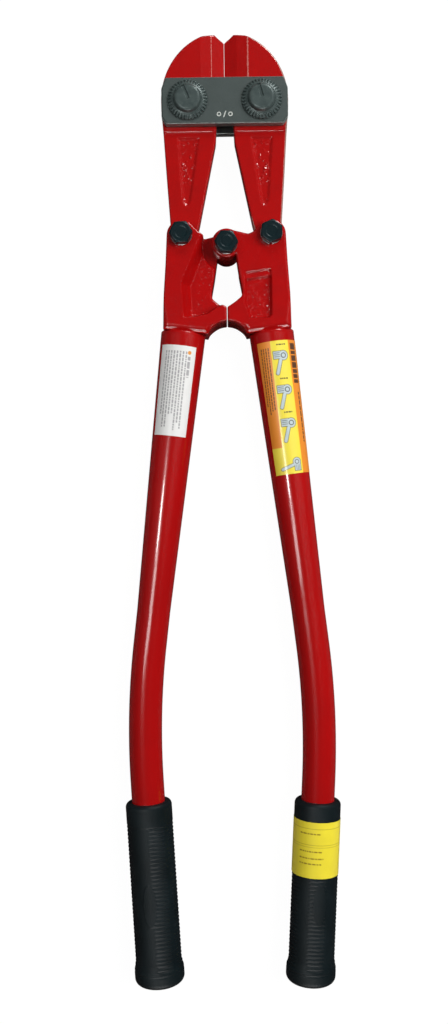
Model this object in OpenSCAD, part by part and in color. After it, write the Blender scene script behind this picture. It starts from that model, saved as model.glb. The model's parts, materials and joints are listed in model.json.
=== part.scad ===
// Centre-cut bolt cutters, 600 mm class: two forged jaws between two side plates,
// each jaw tail pinned in the fork of a forged handle end that carries a tapered steel tube
// and a rubber grip. Drawn closed, lying on its back, head towards +Y and front face up.
// Every piece is first drawn about the centre bolt: x = 0 on the cut line, y = 0 on the
// centre bolt, z = 0 on the middle plane of the jaws. placed() then moves it to the row frame.

/* [Linkage] */
// Half the distance between the two jaw pivots
pivot_half = 23.3; // [20:0.1:28]
// Height of the jaw pivots above the centre bolt
pivot_y = 89.6; // [76:0.1:108]
// Half the distance between the two link bolts
link_half = 28.3; // [26.5:0.1:34]
// Height of the link bolts above the centre bolt
link_y = 6; // [5:0.1:7]
// Half the free length of the slot that the centre bolt has in the rear ear
centre_slot = 2.9; // [2.9:0.1:3.5]
// Direction of that slot, from +X
centre_slot_turn = 33; // [30:1:36]
// Radial play of the centre bolt across that slot
centre_loose = 1.2; // [1.2:0.05:1.3]

/* [Jaws] */
// Thickness of a jaw at the hub
jaw_t = 12; // [10:0.1:14.5]
// Half the width of the closed head
head_half = 40.4; // [36:0.1:49]
// Height of the middle of the round head outline above the jaw pivots
head_mid_up = 3.4; // [2:0.1:4.5]
// Rise of that round outline above its middle
head_rise = 43.5; // [36:0.5:53]
// Distance from the cut line to the ridge of the first bevel
ridge_1 = 8.1; // [6.7:0.1:9.8]
// Distance from the cut line to the ridge of the second bevel
ridge_2 = 15; // [13:0.1:17]
// Width of the notch that opens the blades at the tips
notch_half = 6; // [5:0.1:7]
// Depth of that notch
notch_depth = 3.4; // [2.5:0.1:4.5]
// Rise of the tip from its outer to its inner corner
tip_rise = 1.4; // [0:0.1:3]
// Thickness of a jaw shank between its edge ribs
shank_t = 10.4; // [9:0.1:10.4]
// Radius of a jaw tail round its link bolt
tail_r = 8.6; // [7.5:0.1:9]
// Gap left between one blade and the cut line
blade_gap = 0.1; // [0.1:0.05:0.2]

/* [Side plates] */
// Thickness of a side plate
plate_t = 6.4; // [5:0.1:8]
// Height of a side plate
plate_h = 29; // [27.5:0.1:35]
// Distance from the jaw pivots up to the upper edge of a side plate
plate_up = 15.2; // [14.4:0.1:17]
// Free play between a jaw and each side plate
plate_play = 0.1; // [0.05:0.05:0.2]

/* [Jaw bolts] */
// Radius of the journal that a jaw turns on
journal_r = 8; // [6.8:0.1:8.4]
// Offset of that journal from the ends of the jaw bolt, for blade adjustment
journal_offset = 0.7; // [0.5:0.1:0.8]
// Radius of the toothed flange
flange_r = 12.7; // [11.8:0.1:13.6]
// Number of teeth round the flange
flange_teeth = 36; // [24:1:40]
// Height of the jaw bolt's head over the plate
knob_h = 5.8; // [5:0.1:7]

/* [Link bolts] */
// Radius of the shank of the link bolts and the centre bolt
bolt_r = 4; // [3.4:0.1:4.8]
// Width across flats of their heads and nuts
hex_af = 13; // [12:0.1:14]
// Height of a bolt head
hex_head_h = 5.4; // [4.5:0.1:6.5]
// Height of a nut
hex_nut_h = 5; // [4:0.1:6]
// Thickness of a washer
washer_t = 1.2; // [1:0.1:1.5]
// Radius of the washers under the bolt heads
washer_r = 7; // [6.9:0.1:7.8]
// Radius of the washers under the nuts
rear_washer_r = 8.4; // [8.2:0.1:8.8]

/* [Handle ends] */
// Thickness of a forged handle end
fork_t = 26; // [23.5:0.1:30]
// Radius of the boss round a link bolt
ear_r = 9.2; // [9:0.1:10]
// Radius of the boss round the centre bolt
centre_boss_r = 11.1; // [10.8:0.1:11.4]
// Distance that this boss hangs below the centre bolt
centre_drop = 1.5; // [1:0.1:1.6]
// Height below the centre bolt where the stop faces begin
stop_top = 39.6; // [37:0.1:43]
// Length of the stop faces
stop_len = 8.8; // [7:0.1:10]
// Gap left between one stop face and the cut line
stop_gap = 0.2; // [0.15:0.05:0.3]
// Depth of the open recess on the lap side of a handle end
lap_recess = 8.5; // [7:0.1:9.5]
// Depth of the closed pocket on the other side
pocket_depth = 3.2; // [2:0.1:3.6]

/* [Handle tubes] */
// Distance of the top of a tube from the cut line
tube_x = 28.1; // [26:0.1:30]
// Distance of the top of a tube below the centre bolt
tube_drop = 54.3; // [52:0.1:60]
// Radius of a tube at its top
tube_top_r = 14.2; // [13:0.1:15]
// Radius of a tube below its taper
tube_r = 10.6; // [9.5:0.1:12]
// Wall of a tube
tube_wall = 2; // [1.6:0.1:2.4]
// Length of the tapered stretch
taper_len = 178; // [150:1:190]
// Length of the straight tube above the bend
upper_len = 200.5; // [193:0.5:250]
// Lean of the upper tube away from the cut line
lean_out = 6.85; // [6:0.05:8]
// Angle through which a tube is bent
bend_turn = 9.9; // [8:0.1:12]
// Radius of that bend
bend_r = 500; // [400:1:600]
// Length of tube and grip below the bend
lower_len = 128.8; // [125:0.1:170]
// Length of the tang inside a tube
tang_len = 34; // [25:1:45]

/* [Grips] */
// Length of a grip
grip_len = 115.5; // [100:0.5:124]
// Radius of a grip
grip_r = 14.8; // [13.8:0.1:16]
// Radius of the flared end of a grip
flare_r = 15.9; // [15:0.1:17]
// Length of the flared end
flare_len = 15; // [12:0.5:18]
// Rubber beyond the end of the tube
grip_cap = 5; // [3:0.5:6]

/* [Labels] */
// Thickness of a printed label
label_t = 0.15; // [0.1:0.05:0.3]
// Length of the label on the left tube
left_label_len = 58; // [40:1:70]
// Length of the label on the right tube
right_label_len = 84; // [60:1:95]
// Distance from the top of a tube to its label
label_start = 7.5; // [5:0.5:12]
// Length of the band on the right grip
band_len = 35; // [30:0.5:45]
// Distance from the top of the grip to that band
band_start = 11; // [10:0.5:20]

/* [Hidden] */
$fn = 96;

eps = 0.01;              // overlap that keeps a cut from ending on a face
run_fit = 0.05;          // radial clearance of a turning or sliding fit
seat_fit = 0.02;         // radial clearance of a seat that doesn't move
lap_gap = 0.2;           // height of each lap face off the middle plane
tool_cut = 1;            // length by which a cutting solid runs past the face it starts from
hex_chamfer = 0.8;       // chamfer on the corners of heads and nuts
grip_end_r = 4;          // rounding of the closed end of a grip
red = [0.66, 0.07, 0.08];
dark_plate = [0.27, 0.31, 0.31];
black_steel = [0.12, 0.17, 0.18];
black_rubber = [0.08, 0.09, 0.1];

// Levels of the stack, from the middle plane out
plate_in = jaw_t / 2 + plate_play;
plate_out = plate_in + plate_t;
fork_half = fork_t / 2;
slot_half = jaw_t / 2 + plate_play;
jaw_nut_h = hex_nut_h + fork_half - plate_out;
rest_level = fork_half + washer_t + hex_nut_h;

// Places on the head
tip_y = pivot_y + head_mid_up + head_rise * sqrt(1 - pow(2.2 * notch_half / head_half, 2));
blade_root_y = pivot_y + journal_r - 1.5;
hub_foot_y = pivot_y + plate_up - plate_h - 2.6;
jaw_land_r = journal_r + journal_offset + 0.2;     // front land of a jaw bolt, in the front plate
jaw_end_r = journal_r - journal_offset - 0.3;      // rear land, in the rear plate
jaw_thread_r = jaw_end_r - 1.4;
jaw_nut_af = hex_af + 3;

// Places on a handle end
lap_r = centre_boss_r + centre_drop + centre_slot;
slot_floor_y = link_y - tail_r - 0.8;
slot_wall_x = link_half - tail_r - 4.6;
stop_low = stop_top + stop_len;
arch_r = tube_x - tube_top_r - 0.4;
centre_hole_r = bolt_r + centre_loose;

// Places along a handle
taper_slope = (tube_top_r - tube_r) / taper_len;
bend_dx = bend_r * (1 - cos(bend_turn));
bend_dz = bend_r * sin(bend_turn);
handle_len_y = tube_drop + upper_len * cos(lean_out)
  + bend_r * (sin(lean_out) + sin(bend_turn - lean_out))
  + lower_len * cos(bend_turn - lean_out)
  + (grip_r - grip_end_r) * sin(bend_turn - lean_out);
frame_shift = [0, (handle_len_y - tip_y - tip_rise) / 2, rest_level];

function tube_r_at(s) = tube_top_r - taper_slope * min(s, taper_len);
function arc_points(c, r, from, to, n) =
  [for (i = [0 : n]) let (a = from + (to - from) * i / n) c + r * [cos(a), sin(a)]];

// Moves a piece from the drawing frame to the row frame
module placed() {
  translate(frame_shift) children();
}

// Turns a right-hand forging into the left-hand one, which is the same part laid face down
module turned_over() {
  rotate([0, 180, 0]) children();
}

module mirrored() {
  mirror([1, 0, 0]) children();
}

// A flat prism with the outline of its children, from level z0 to level z1
module slab(z0, z1) {
  translate([0, 0, z0]) linear_extrude(z1 - z0) children();
}

module disc(r, z0, z1) {
  translate([0, 0, z0]) cylinder(h = z1 - z0, r = r);
}

// Frame of the upper tube of the right handle: +Z runs down the tube, +Y faces the front
module on_tube() {
  translate([tube_x, -tube_drop, 0]) rotate([90, 0, lean_out]) children();
}

// Frame of the lower tube, starting at the end of the bend
module on_lower_tube() {
  on_tube() translate([-bend_dx, 0, upper_len + bend_dz]) rotate([0, -bend_turn, 0]) children();
}

// ---- Jaws ----

// Outline of the right jaw, from the notch round the head, down the shank and back up
module jaw_outline() {
  tip_a = acos(2.2 * notch_half / head_half);
  polygon(concat(
    [[blade_gap, tip_y - notch_depth], [notch_half, tip_y + tip_rise]],
    arc_points_head(tip_a, 0, 24),
    [
      [head_half - 0.1, pivot_y - 3],
      [head_half - 1.2, hub_foot_y],
      [head_half - 3.2, hub_foot_y - 32],
      [link_half + tail_r * 0.68, link_y + tail_r * 0.75],
      [link_half, link_y - 1],
      [link_half - tail_r * 0.8, link_y - 3],
      [link_half - tail_r - 1.6, link_y + 2.2],
      [link_half - tail_r - 2.9, link_y + 8.6],
      [notch_half, hub_foot_y - 6.5],
      [notch_half - 0.8, hub_foot_y + 6],
      [notch_half - 2.4, blade_root_y - 5],
      [blade_gap + 1.2, blade_root_y - 1],
      [blade_gap, blade_root_y]
    ]
  ));
}

// Points of the elliptical head edge between two angles
function arc_points_head(from, to, n) =
  [for (i = [0 : n]) let (a = from + (to - from) * i / n)
    [head_half * cos(a), pivot_y + head_mid_up + head_rise * sin(a)]];

// Section of the blade seen from the tip: two bevels down to the cutting edge on each face
module blade_section() {
  edge = 0.5;
  step = jaw_t / 2 * 0.69;
  far = head_half + 5;
  polygon([
    [0, -edge], [ridge_1, -step], [ridge_2, -jaw_t / 2], [far, -jaw_t / 2],
    [far, jaw_t / 2], [ridge_2, jaw_t / 2], [ridge_1, step], [0, edge]
  ]);
}

// Recess in the face of the shank
module shank_pocket_outline() {
  polygon([
    [notch_half + 10, hub_foot_y - 2.8], [head_half - 11, hub_foot_y - 2.8],
    [link_half - 1, link_y + 23], [link_half - 2.2, link_y + 20.4],
    [link_half - 4.6, link_y + 20.4], [link_half - 6, link_y + 23]
  ]);
}

module jaw_solid() {
  long = 2 * (pivot_y + head_rise);
  difference() {
    intersection() {
      union() {
        slab(-jaw_t / 2, jaw_t / 2) jaw_outline();
        translate([link_half, link_y, 0]) disc(tail_r, -jaw_t / 2, jaw_t / 2);
      }
      union() {
        translate([0, blade_root_y - 2, 0]) rotate([-90, 0, 0]) linear_extrude(long) blade_section();
        translate([0, hub_foot_y, -jaw_t]) cube([head_half + 5, blade_root_y - hub_foot_y, 2 * jaw_t]);
        translate([0, -jaw_t, -shank_t / 2]) cube([head_half + 5, blade_root_y + jaw_t, shank_t]);
        translate([link_half, link_y, 0]) disc(tail_r, -jaw_t / 2, jaw_t / 2);
      }
    }
    for (s = [-1, 1])
      translate([0, 0, s * (shank_t / 2 - 0.65)]) slab(-0.65, 0.65 + eps * s) shank_pocket_outline();
    translate([pivot_half, pivot_y, 0]) disc(journal_r + run_fit, -jaw_t, jaw_t);
    translate([link_half, link_y, 0]) disc(bolt_r + run_fit, -jaw_t, jaw_t);
  }
}

module left_jaw() {
  color(red) placed() mirrored() jaw_solid();
}

module right_jaw() {
  color(red) placed() jaw_solid();
}

// ---- Side plates ----

module plate_outline() {
  up = pivot_y + plate_up;
  low = up - plate_h;
  side = head_half - 0.6;
  right_half = [[side - 3, low], [side, low + 4], [side, up - 6.9], [side - 2.6, up]];
  polygon(concat(right_half, [for (i = [3 : -1 : 0]) [-right_half[i][0], right_half[i][1]]]));
}

// One side plate with a bore over each jaw bolt
module plate_solid(z0, z1, bore_r) {
  difference() {
    slab(z0, z1) plate_outline();
    for (s = [-1, 1])
      translate([s * pivot_half, pivot_y + journal_offset, 0])
        disc(bore_r + seat_fit, z0 - tool_cut, z1 + tool_cut);
  }
}

module front_plate() {
  color(dark_plate) placed() plate_solid(plate_in, plate_out, jaw_land_r);
}

module rear_plate() {
  color(dark_plate) placed() plate_solid(-plate_out, -plate_in, jaw_end_r);
}

// ---- Jaw bolts ----

// Profile of the head: toothed flange, waist and flat face with a chamfer
module knob_profile() {
  base = plate_out;
  top = plate_out + knob_h;
  face = flange_r * 0.63;
  polygon([
    [0, base], [flange_r, base], [flange_r, base + 0.9], [flange_r - 2.3, base + 2.4],
    [face + 1, base + 2.9], [face + 0.4, top - 0.8], [face - 0.5, top], [0, top]
  ]);
}

// Jaw bolt in place: the head and both lands share one axis, and the journal is set off it
module jaw_bolt_solid() {
  translate([pivot_half, pivot_y, 0]) {
    difference() {
      union() {
        translate([0, journal_offset, 0]) {
          rotate_extrude() knob_profile();
          disc(jaw_land_r, jaw_t / 2 + plate_play / 2, plate_out + eps);
          disc(jaw_end_r, -plate_out, 0);
          disc(jaw_thread_r, -rest_level, 0);
        }
        disc(journal_r, -jaw_t / 2 - plate_play / 2, jaw_t / 2 + plate_play / 2);
      }
      translate([0, journal_offset, plate_out])
        for (i = [0 : flange_teeth - 1])
          rotate([0, 0, i * 360 / flange_teeth])
            translate([flange_r - 1.9, -0.4, 0.9]) cube([3, 0.8, 3]);
    }
  }
}

module jaw_washer_solid() {
  translate([pivot_half, pivot_y + journal_offset, 0])
    difference() {
      disc(jaw_nut_af / 2 + 1.4, -plate_out - washer_t, -plate_out);
      disc(jaw_thread_r + seat_fit, -rest_level, 0);
    }
}

// A hexagonal prism with chamfered corners on the side away from z0
module hex_solid(af, z0, z1) {
  circle_r = af / 2 / cos(30);
  low = min(z0, z1);
  up = z1 > z0;
  intersection() {
    translate([0, 0, low]) cylinder(h = abs(z1 - z0), r = circle_r, $fn = 6);
    translate([0, 0, low])
      cylinder(
        h = abs(z1 - z0),
        r1 = up ? circle_r + abs(z1 - z0) - hex_chamfer : circle_r - hex_chamfer,
        r2 = up ? circle_r - hex_chamfer : circle_r + abs(z1 - z0) - hex_chamfer
      );
  }
}

module jaw_nut_solid() {
  translate([pivot_half, pivot_y + journal_offset, 0])
    difference() {
      hex_solid(jaw_nut_af, -plate_out - washer_t, -rest_level);
      disc(jaw_thread_r + seat_fit, -rest_level - tool_cut, 0);
    }
}

module left_jaw_bolt() {
  color(black_steel) placed() mirrored() jaw_bolt_solid();
}

module right_jaw_bolt() {
  color(black_steel) placed() jaw_bolt_solid();
}

module left_jaw_washer() {
  color("silver") placed() mirrored() jaw_washer_solid();
}

module right_jaw_washer() {
  color("silver") placed() jaw_washer_solid();
}

module left_jaw_nut() {
  color(black_steel) placed() mirrored() jaw_nut_solid();
}

module right_jaw_nut() {
  color(black_steel) placed() jaw_nut_solid();
}

// ---- Forged handle ends ----

// Outline of the right handle end: centre boss, link boss, stop nose and shoulder
module handle_end_outline() {
  translate([0, -centre_drop]) circle(centre_boss_r);
  translate([link_half, link_y]) circle(ear_r);
  polygon(concat(
    [
      [0, centre_boss_r - centre_drop],
      [centre_boss_r * 0.5, centre_boss_r * 0.82 - centre_drop],
      [slot_wall_x - 1.3, link_y + 0.2],
      [slot_wall_x + 2, link_y + 1.6],
      [link_half - ear_r * 0.7, link_y + ear_r * 0.7],
      [link_half + ear_r, link_y],
      [tube_x + tube_top_r - 3.9, -tube_drop * 0.21],
      [tube_x + tube_top_r - 2.5, -tube_drop * 0.57],
      [tube_x + tube_top_r - 1.7, -tube_drop + 1.2],
      [tube_x + tube_top_r - 1.7, -tube_drop - 1],
      [tube_x - tube_top_r + 0.4, -tube_drop - 4]
    ],
    arc_points([0, -stop_low - arch_r], arch_r, 12, 88, 12),
    [
      [stop_gap, -stop_low], [stop_gap, -stop_top],
      [5, -stop_top + 3.1], [9.2, -stop_top + 6.6], [9.7, -stop_top + 10],
      [7.6, -stop_top + 21.5], [7, -centre_boss_r - centre_drop],
      [0, -centre_boss_r * 0.8]
    ]
  ));
}

// Room in the fork for the jaw tail, open to the top and the outside
module fork_slot_outline() {
  far = link_half + 3 * ear_r;
  polygon([
    [slot_wall_x, link_y + 2 * ear_r], [slot_wall_x, link_y + 1],
    [slot_wall_x + 2.4, slot_floor_y + 2], [slot_wall_x + 5, slot_floor_y],
    [far, slot_floor_y], [far, link_y + 2 * ear_r]
  ]);
}

// Straight ramp along a border: runs from point a to point b and falls d over width w to its right
module ramp_cut(a, b, w, d) {
  run = b - a;
  translate([a[0], a[1], fork_half]) rotate([0, 0, atan2(run[1], run[0])])
    rotate([90, 0, 90]) linear_extrude(norm(run))
      polygon([[0, 0.1], [0, 0], [-w, -d], [-w - 0.1, -d], [-w - 0.1, 0.1]]);
}

// Open recess on the lap side, from the link boss to the stop nose
module lap_recess_cut() {
  top = [slot_wall_x - 0.6, link_y + 3];
  bend = [tube_x + 0.7, -tube_drop * 0.44];
  low = [tube_x - 0.6, -stop_low + 2.5];
  ramp_w = 4.5;
  along = (bend - top) / norm(bend - top);
  slab(fork_half - lap_recess, fork_half + tool_cut)
    polygon(concat(
      [top - [4.4, 2.6], bend - [ramp_w + 0.9, -0.6], low + [-ramp_w, 2]],
      [low + [-ramp_w - 3, 0.5], [12, -stop_low + 4.5], [7, -stop_top - 1], [3, -stop_top + 1]],
      [[-4, -stop_top + 8], [-4, link_y + 3]]
    ));
  ramp_cut(bend + 0.2 * along, top, ramp_w, lap_recess);
  ramp_cut(low + [0, 1], bend + [0, 1.2], ramp_w, lap_recess);
}

// Closed pocket on the other side
module pocket_cut() {
  left = 9.6;
  right = tube_x + 0.4;
  slab(fork_half - pocket_depth, fork_half + tool_cut)
    polygon([
      [left + 1.2, -17.8], [right - 1.6, -15.6], [right, -17.6],
      [right, -stop_low + 3], [right - 2, -stop_low + 1.2], [left + 5, -stop_low + 1.2],
      [left + 1.2, -stop_top + 2], [left + 1.6, -stop_top + 9]
    ]);
}

// Right handle end, front ear at the centre bolt. hole_slot > 0 makes the loose centre hole
module handle_end_solid(hole_slot) {
  difference() {
    union() {
      difference() {
        slab(-fork_half, fork_half) handle_end_outline();
        // end of the forging, square to the tube
        on_tube() translate([-60, -60, 0]) cube([120, 120, 60]);
      }
      on_tube() cylinder(
        h = tang_len,
        r1 = tube_r_at(0) - tube_wall - run_fit,
        r2 = tube_r_at(tang_len) - tube_wall - run_fit
      );
    }
    slab(-slot_half, slot_half) fork_slot_outline();
    // half lap at the centre bolt
    disc(lap_r, -fork_half - tool_cut, lap_gap);
    translate([-lap_r, -lap_r, -fork_half - tool_cut])
      cube([lap_r, 2 * lap_r, fork_half + tool_cut + lap_gap]);
    pocket_cut();
    mirror([0, 0, 1]) lap_recess_cut();
    translate([link_half, link_y, 0]) disc(bolt_r + seat_fit, -fork_t, fork_t);
    if (hole_slot > 0)
      rotate([0, 0, -centre_slot_turn]) {
        for (s = [-1, 1]) translate([s * hole_slot, 0, 0]) disc(centre_hole_r, -fork_t, fork_t);
        translate([-hole_slot, -centre_hole_r, -fork_t])
          cube([2 * hole_slot, 2 * centre_hole_r, 2 * fork_t]);
      }
    else
      disc(bolt_r + seat_fit, -fork_t, fork_t);
  }
}

module left_handle_end() {
  color(red) placed() turned_over() handle_end_solid(centre_slot);
}

module right_handle_end() {
  color(red) placed() handle_end_solid(0);
}

// ---- Link bolts, centre bolt, washers and nuts ----

module hex_bolt_solid(turn) {
  seat = fork_half + washer_t;
  rotate([0, 0, turn]) hex_solid(hex_af, seat, seat + hex_head_h);
  disc(bolt_r, -rest_level, seat + eps);
}

module washer_solid(r, z0) {
  difference() {
    disc(r, z0, z0 + washer_t);
    disc(bolt_r + seat_fit, z0 - tool_cut, z0 + washer_t + tool_cut);
  }
}

module hex_nut_solid(turn) {
  difference() {
    rotate([0, 0, turn]) hex_solid(hex_af, -fork_half - washer_t, -rest_level);
    disc(bolt_r + seat_fit, -rest_level - tool_cut, 0);
  }
}

// Places a piece on the left link bolt (-1), the centre bolt (0) or the right link bolt (1)
module at_bolt(side) {
  translate([side * link_half, side == 0 ? 0 : link_y, 0]) children();
}

module left_link_bolt() {
  color(black_steel) placed() at_bolt(-1) hex_bolt_solid(3);
}

module right_link_bolt() {
  color(black_steel) placed() at_bolt(1) hex_bolt_solid(24);
}

module centre_bolt() {
  color(black_steel) placed() at_bolt(0) hex_bolt_solid(-2);
}

module left_link_washer() {
  color("silver") placed() at_bolt(-1) washer_solid(washer_r, fork_half);
}

module right_link_washer() {
  color("silver") placed() at_bolt(1) washer_solid(washer_r, fork_half);
}

module centre_washer() {
  color("silver") placed() at_bolt(0) washer_solid(washer_r, fork_half);
}

module left_rear_washer() {
  color("silver") placed() at_bolt(-1) washer_solid(rear_washer_r, -fork_half - washer_t);
}

module right_rear_washer() {
  color("silver") placed() at_bolt(1) washer_solid(rear_washer_r, -fork_half - washer_t);
}

module centre_rear_washer() {
  color("silver") placed() at_bolt(0) washer_solid(rear_washer_r, -fork_half - washer_t);
}

module left_link_nut() {
  color(black_steel) placed() at_bolt(-1) hex_nut_solid(11);
}

module right_link_nut() {
  color(black_steel) placed() at_bolt(1) hex_nut_solid(-18);
}

module centre_nut() {
  color(black_steel) placed() at_bolt(0) hex_nut_solid(6);
}

// ---- Tubes ----

// Round wall with outside radii r1 and r2
module tube_ring(h, r1, r2, wall) {
  difference() {
    cylinder(h = h, r1 = r1, r2 = r2);
    cylinder(h = h, r1 = r1 - wall, r2 = r2 - wall);
  }
}

// Tapered, straight, bent and straight again. The upper stretches meet face to face, and the
// last one starts a little inside the wall of the bend
module tube_solid() {
  lap = 0.5;   // length that the last stretch shares with the bend
  on_tube() {
    tube_ring(taper_len, tube_top_r, tube_r, tube_wall);
    translate([0, 0, taper_len]) tube_ring(upper_len - taper_len, tube_r, tube_r, tube_wall);
    translate([-bend_r, 0, upper_len]) rotate([90, 0, 0])
      rotate_extrude(angle = bend_turn) translate([bend_r, 0])
        difference() {
          circle(tube_r);
          circle(tube_r - tube_wall);
        }
  }
  on_lower_tube() translate([0, 0, -lap])
    tube_ring(lower_len - grip_cap + lap, tube_r - seat_fit, tube_r - seat_fit, tube_wall - 2 * seat_fit);
}

module left_tube() {
  color(red) placed() turned_over() tube_solid();
}

module right_tube() {
  color(red) placed() tube_solid();
}

// ---- Grips ----

// Half section of a grip: collar, straight body, flared end with a round edge
module grip_profile() {
  bore = tube_r + run_fit;
  cap = grip_cap - run_fit;
  polygon(concat(
    [
      [bore, 0], [grip_r - 2.2, 0], [grip_r - 0.8, 0.7], [grip_r, 2.4],
      [grip_r, grip_len - flare_len], [flare_r, grip_len - flare_len * 0.6]
    ],
    arc_points([flare_r - grip_end_r, grip_len - grip_end_r], grip_end_r, 0, 90, 8),
    [[0, grip_len], [0, grip_len - cap], [bore, grip_len - cap]]
  ));
}

module grip_solid() {
  on_lower_tube() translate([0, 0, lower_len - grip_len]) rotate_extrude() grip_profile();
}

module left_grip() {
  color(black_rubber) placed() turned_over() grip_solid();
}

module right_grip() {
  color(black_rubber) placed() grip_solid();
}

// ---- Labels ----

// Wedge that keeps the part of a ring between two angles, measured from the front towards +X
module sector(from, to, r, h) {
  linear_extrude(h)
    polygon(concat([[0, 0]], [for (i = [0 : 6]) let (a = 90 - from - (to - from) * i / 6)
      r * [cos(a), sin(a)]]));
}

// Label on the tapered tube, between two angles, len long
module tube_label(from, to, len) {
  on_tube() translate([0, 0, label_start])
    intersection() {
      difference() {
        cylinder(
          h = len,
          r1 = tube_r_at(label_start) + label_t + seat_fit,
          r2 = tube_r_at(label_start + len) + label_t + seat_fit
        );
        translate([0, 0, -eps]) cylinder(
          h = len + 2 * eps,
          r1 = tube_r_at(label_start) + seat_fit,
          r2 = tube_r_at(label_start + len) + seat_fit
        );
      }
      sector(from, to, 3 * tube_top_r, len);
    }
}

module left_tube_label() {
  color("white") placed() mirrored() tube_label(-43, 58, left_label_len);
}

module right_tube_label() {
  color([0.93, 0.8, 0.2]) placed() tube_label(-48, 118, right_label_len);
}

// Printed band round the right grip
module grip_band() {
  color([0.9, 0.8, 0.25]) placed() on_lower_tube()
    translate([0, 0, lower_len - grip_len + band_start])
      difference() {
        cylinder(h = band_len, r = grip_r + 2 * label_t + seat_fit);
        translate([0, 0, -1]) cylinder(h = band_len + 2, r = grip_r + seat_fit);
      }
}

front_plate();
rear_plate();
left_jaw_bolt();
right_jaw_bolt();
left_jaw_washer();
right_jaw_washer();
left_jaw_nut();
right_jaw_nut();
left_jaw();
right_jaw();
left_handle_end();
right_handle_end();
left_link_bolt();
right_link_bolt();
centre_bolt();
left_link_washer();
right_link_washer();
centre_washer();
left_rear_washer();
right_rear_washer();
centre_rear_washer();
left_link_nut();
right_link_nut();
centre_nut();
left_tube();
right_tube();
left_grip();
right_grip();
left_tube_label();
right_tube_label();
grip_band();
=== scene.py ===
# %% [markdown]
# # Centre-cut bolt cutters
# The tool lies on its back on a pale table, closed, head up. Two forged jaws turn between two
# side plates. Each jaw tail is pinned in a forged handle end, and a centre bolt joins the two
# ends. Tapered steel tubes with rubber grips finish the handles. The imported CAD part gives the
# places and the joints. Here every visible part gets a finer surface and its real finish.

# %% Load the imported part
import json
import math

import bpy
import numpy as np
from mathutils import Matrix, Vector
from mathutils.geometry import delaunay_2d_cdt

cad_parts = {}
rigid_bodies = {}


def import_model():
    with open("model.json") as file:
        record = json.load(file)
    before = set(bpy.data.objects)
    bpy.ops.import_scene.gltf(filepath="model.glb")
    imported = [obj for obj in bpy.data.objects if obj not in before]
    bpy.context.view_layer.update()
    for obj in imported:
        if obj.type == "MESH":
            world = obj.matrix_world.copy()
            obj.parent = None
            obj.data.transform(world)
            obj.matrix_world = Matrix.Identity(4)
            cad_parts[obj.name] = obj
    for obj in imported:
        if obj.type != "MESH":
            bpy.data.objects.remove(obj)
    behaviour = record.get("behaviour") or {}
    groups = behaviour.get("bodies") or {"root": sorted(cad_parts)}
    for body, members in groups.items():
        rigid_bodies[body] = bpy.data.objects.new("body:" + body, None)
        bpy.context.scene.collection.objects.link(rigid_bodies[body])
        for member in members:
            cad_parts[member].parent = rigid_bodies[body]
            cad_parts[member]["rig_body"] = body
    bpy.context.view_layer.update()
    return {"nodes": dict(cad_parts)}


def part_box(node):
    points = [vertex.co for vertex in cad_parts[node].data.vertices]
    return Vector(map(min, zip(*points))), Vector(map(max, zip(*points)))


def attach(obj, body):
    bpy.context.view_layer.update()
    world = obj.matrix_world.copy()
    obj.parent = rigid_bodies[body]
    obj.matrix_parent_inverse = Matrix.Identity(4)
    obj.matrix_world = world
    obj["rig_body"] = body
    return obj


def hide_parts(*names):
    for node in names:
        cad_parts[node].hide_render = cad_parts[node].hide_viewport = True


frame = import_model()

# %% [markdown]
# ## One drawing frame
# All shapes are worked out in millimetres about the centre bolt: x across from the cut line,
# y up to the tips and z towards the front face from the middle of the jaws. The CAD nodes tell
# where that frame sits, so the same step that moves a finished piece also turns it into metres.

# %% Drawing frame and driving sizes
MM = 0.001


def middle(node):
    """Middle of a CAD node's box in metres: half the sum of its two corners."""
    low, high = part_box(node)
    return (np.array(low) + np.array(high)) / 2


ORIGIN = np.array([0.0, middle("centre_washer")[1], middle("left_jaw")[2]])


def at_level(node, side):
    """Level of a CAD node's top (side 1) or bottom (side 0) in the drawing frame, in millimetres."""
    return (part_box(node)[side][2] - ORIGIN[2]) / MM


BOLT_OFFSET = 0.7
PIVOT = (middle("right_jaw_washer")[:2] - ORIGIN[:2]) / MM - [0, BOLT_OFFSET]
LINK = (middle("right_link_washer")[:2] - ORIGIN[:2]) / MM
JAW_HALF = at_level("right_jaw", 1)
PLATE_IN = at_level("front_plate", 0)
PLATE_OUT = at_level("front_plate", 1)
FORK_HALF = at_level("right_handle_end", 1)
REST = -at_level("right_link_nut", 0)
TIP_RISE = 1.4
TIP_Y = (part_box("right_jaw")[1][1] - ORIGIN[1]) / MM - TIP_RISE
HEAD_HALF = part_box("right_jaw")[1][0] / MM
PLATE_LOW, PLATE_HIGH = [(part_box("front_plate")[i][1] - ORIGIN[1]) / MM for i in (0, 1)]
print("origin", ORIGIN.round(4), "pivot", PIVOT.round(2), "link", LINK.round(2))
print("levels", round(JAW_HALF, 2), round(PLATE_IN, 2), round(PLATE_OUT, 2), round(FORK_HALF, 2))

# %% [markdown]
# ## Surfaces as whole arrays
# Almost every piece is one of two surfaces. A turned or swept piece is a grid of points, one
# row after another, closed round and at both ends. A forging or plate is an outline that is
# filled with points, and each point gets a height from a formula: a flat face, a rounded edge,
# a ramp or a pocket. Both are worked out as arrays, so a fine mesh costs no more code.

# %% Helpers for meshes
PIECES = {}


def smoothstep(low, high, value):
    """Soft switch from 0 to 1 between two values: three times the square less twice the cube."""
    t = np.clip((value - low) / (high - low), 0, 1)
    return t * t * (3 - 2 * t)


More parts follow.
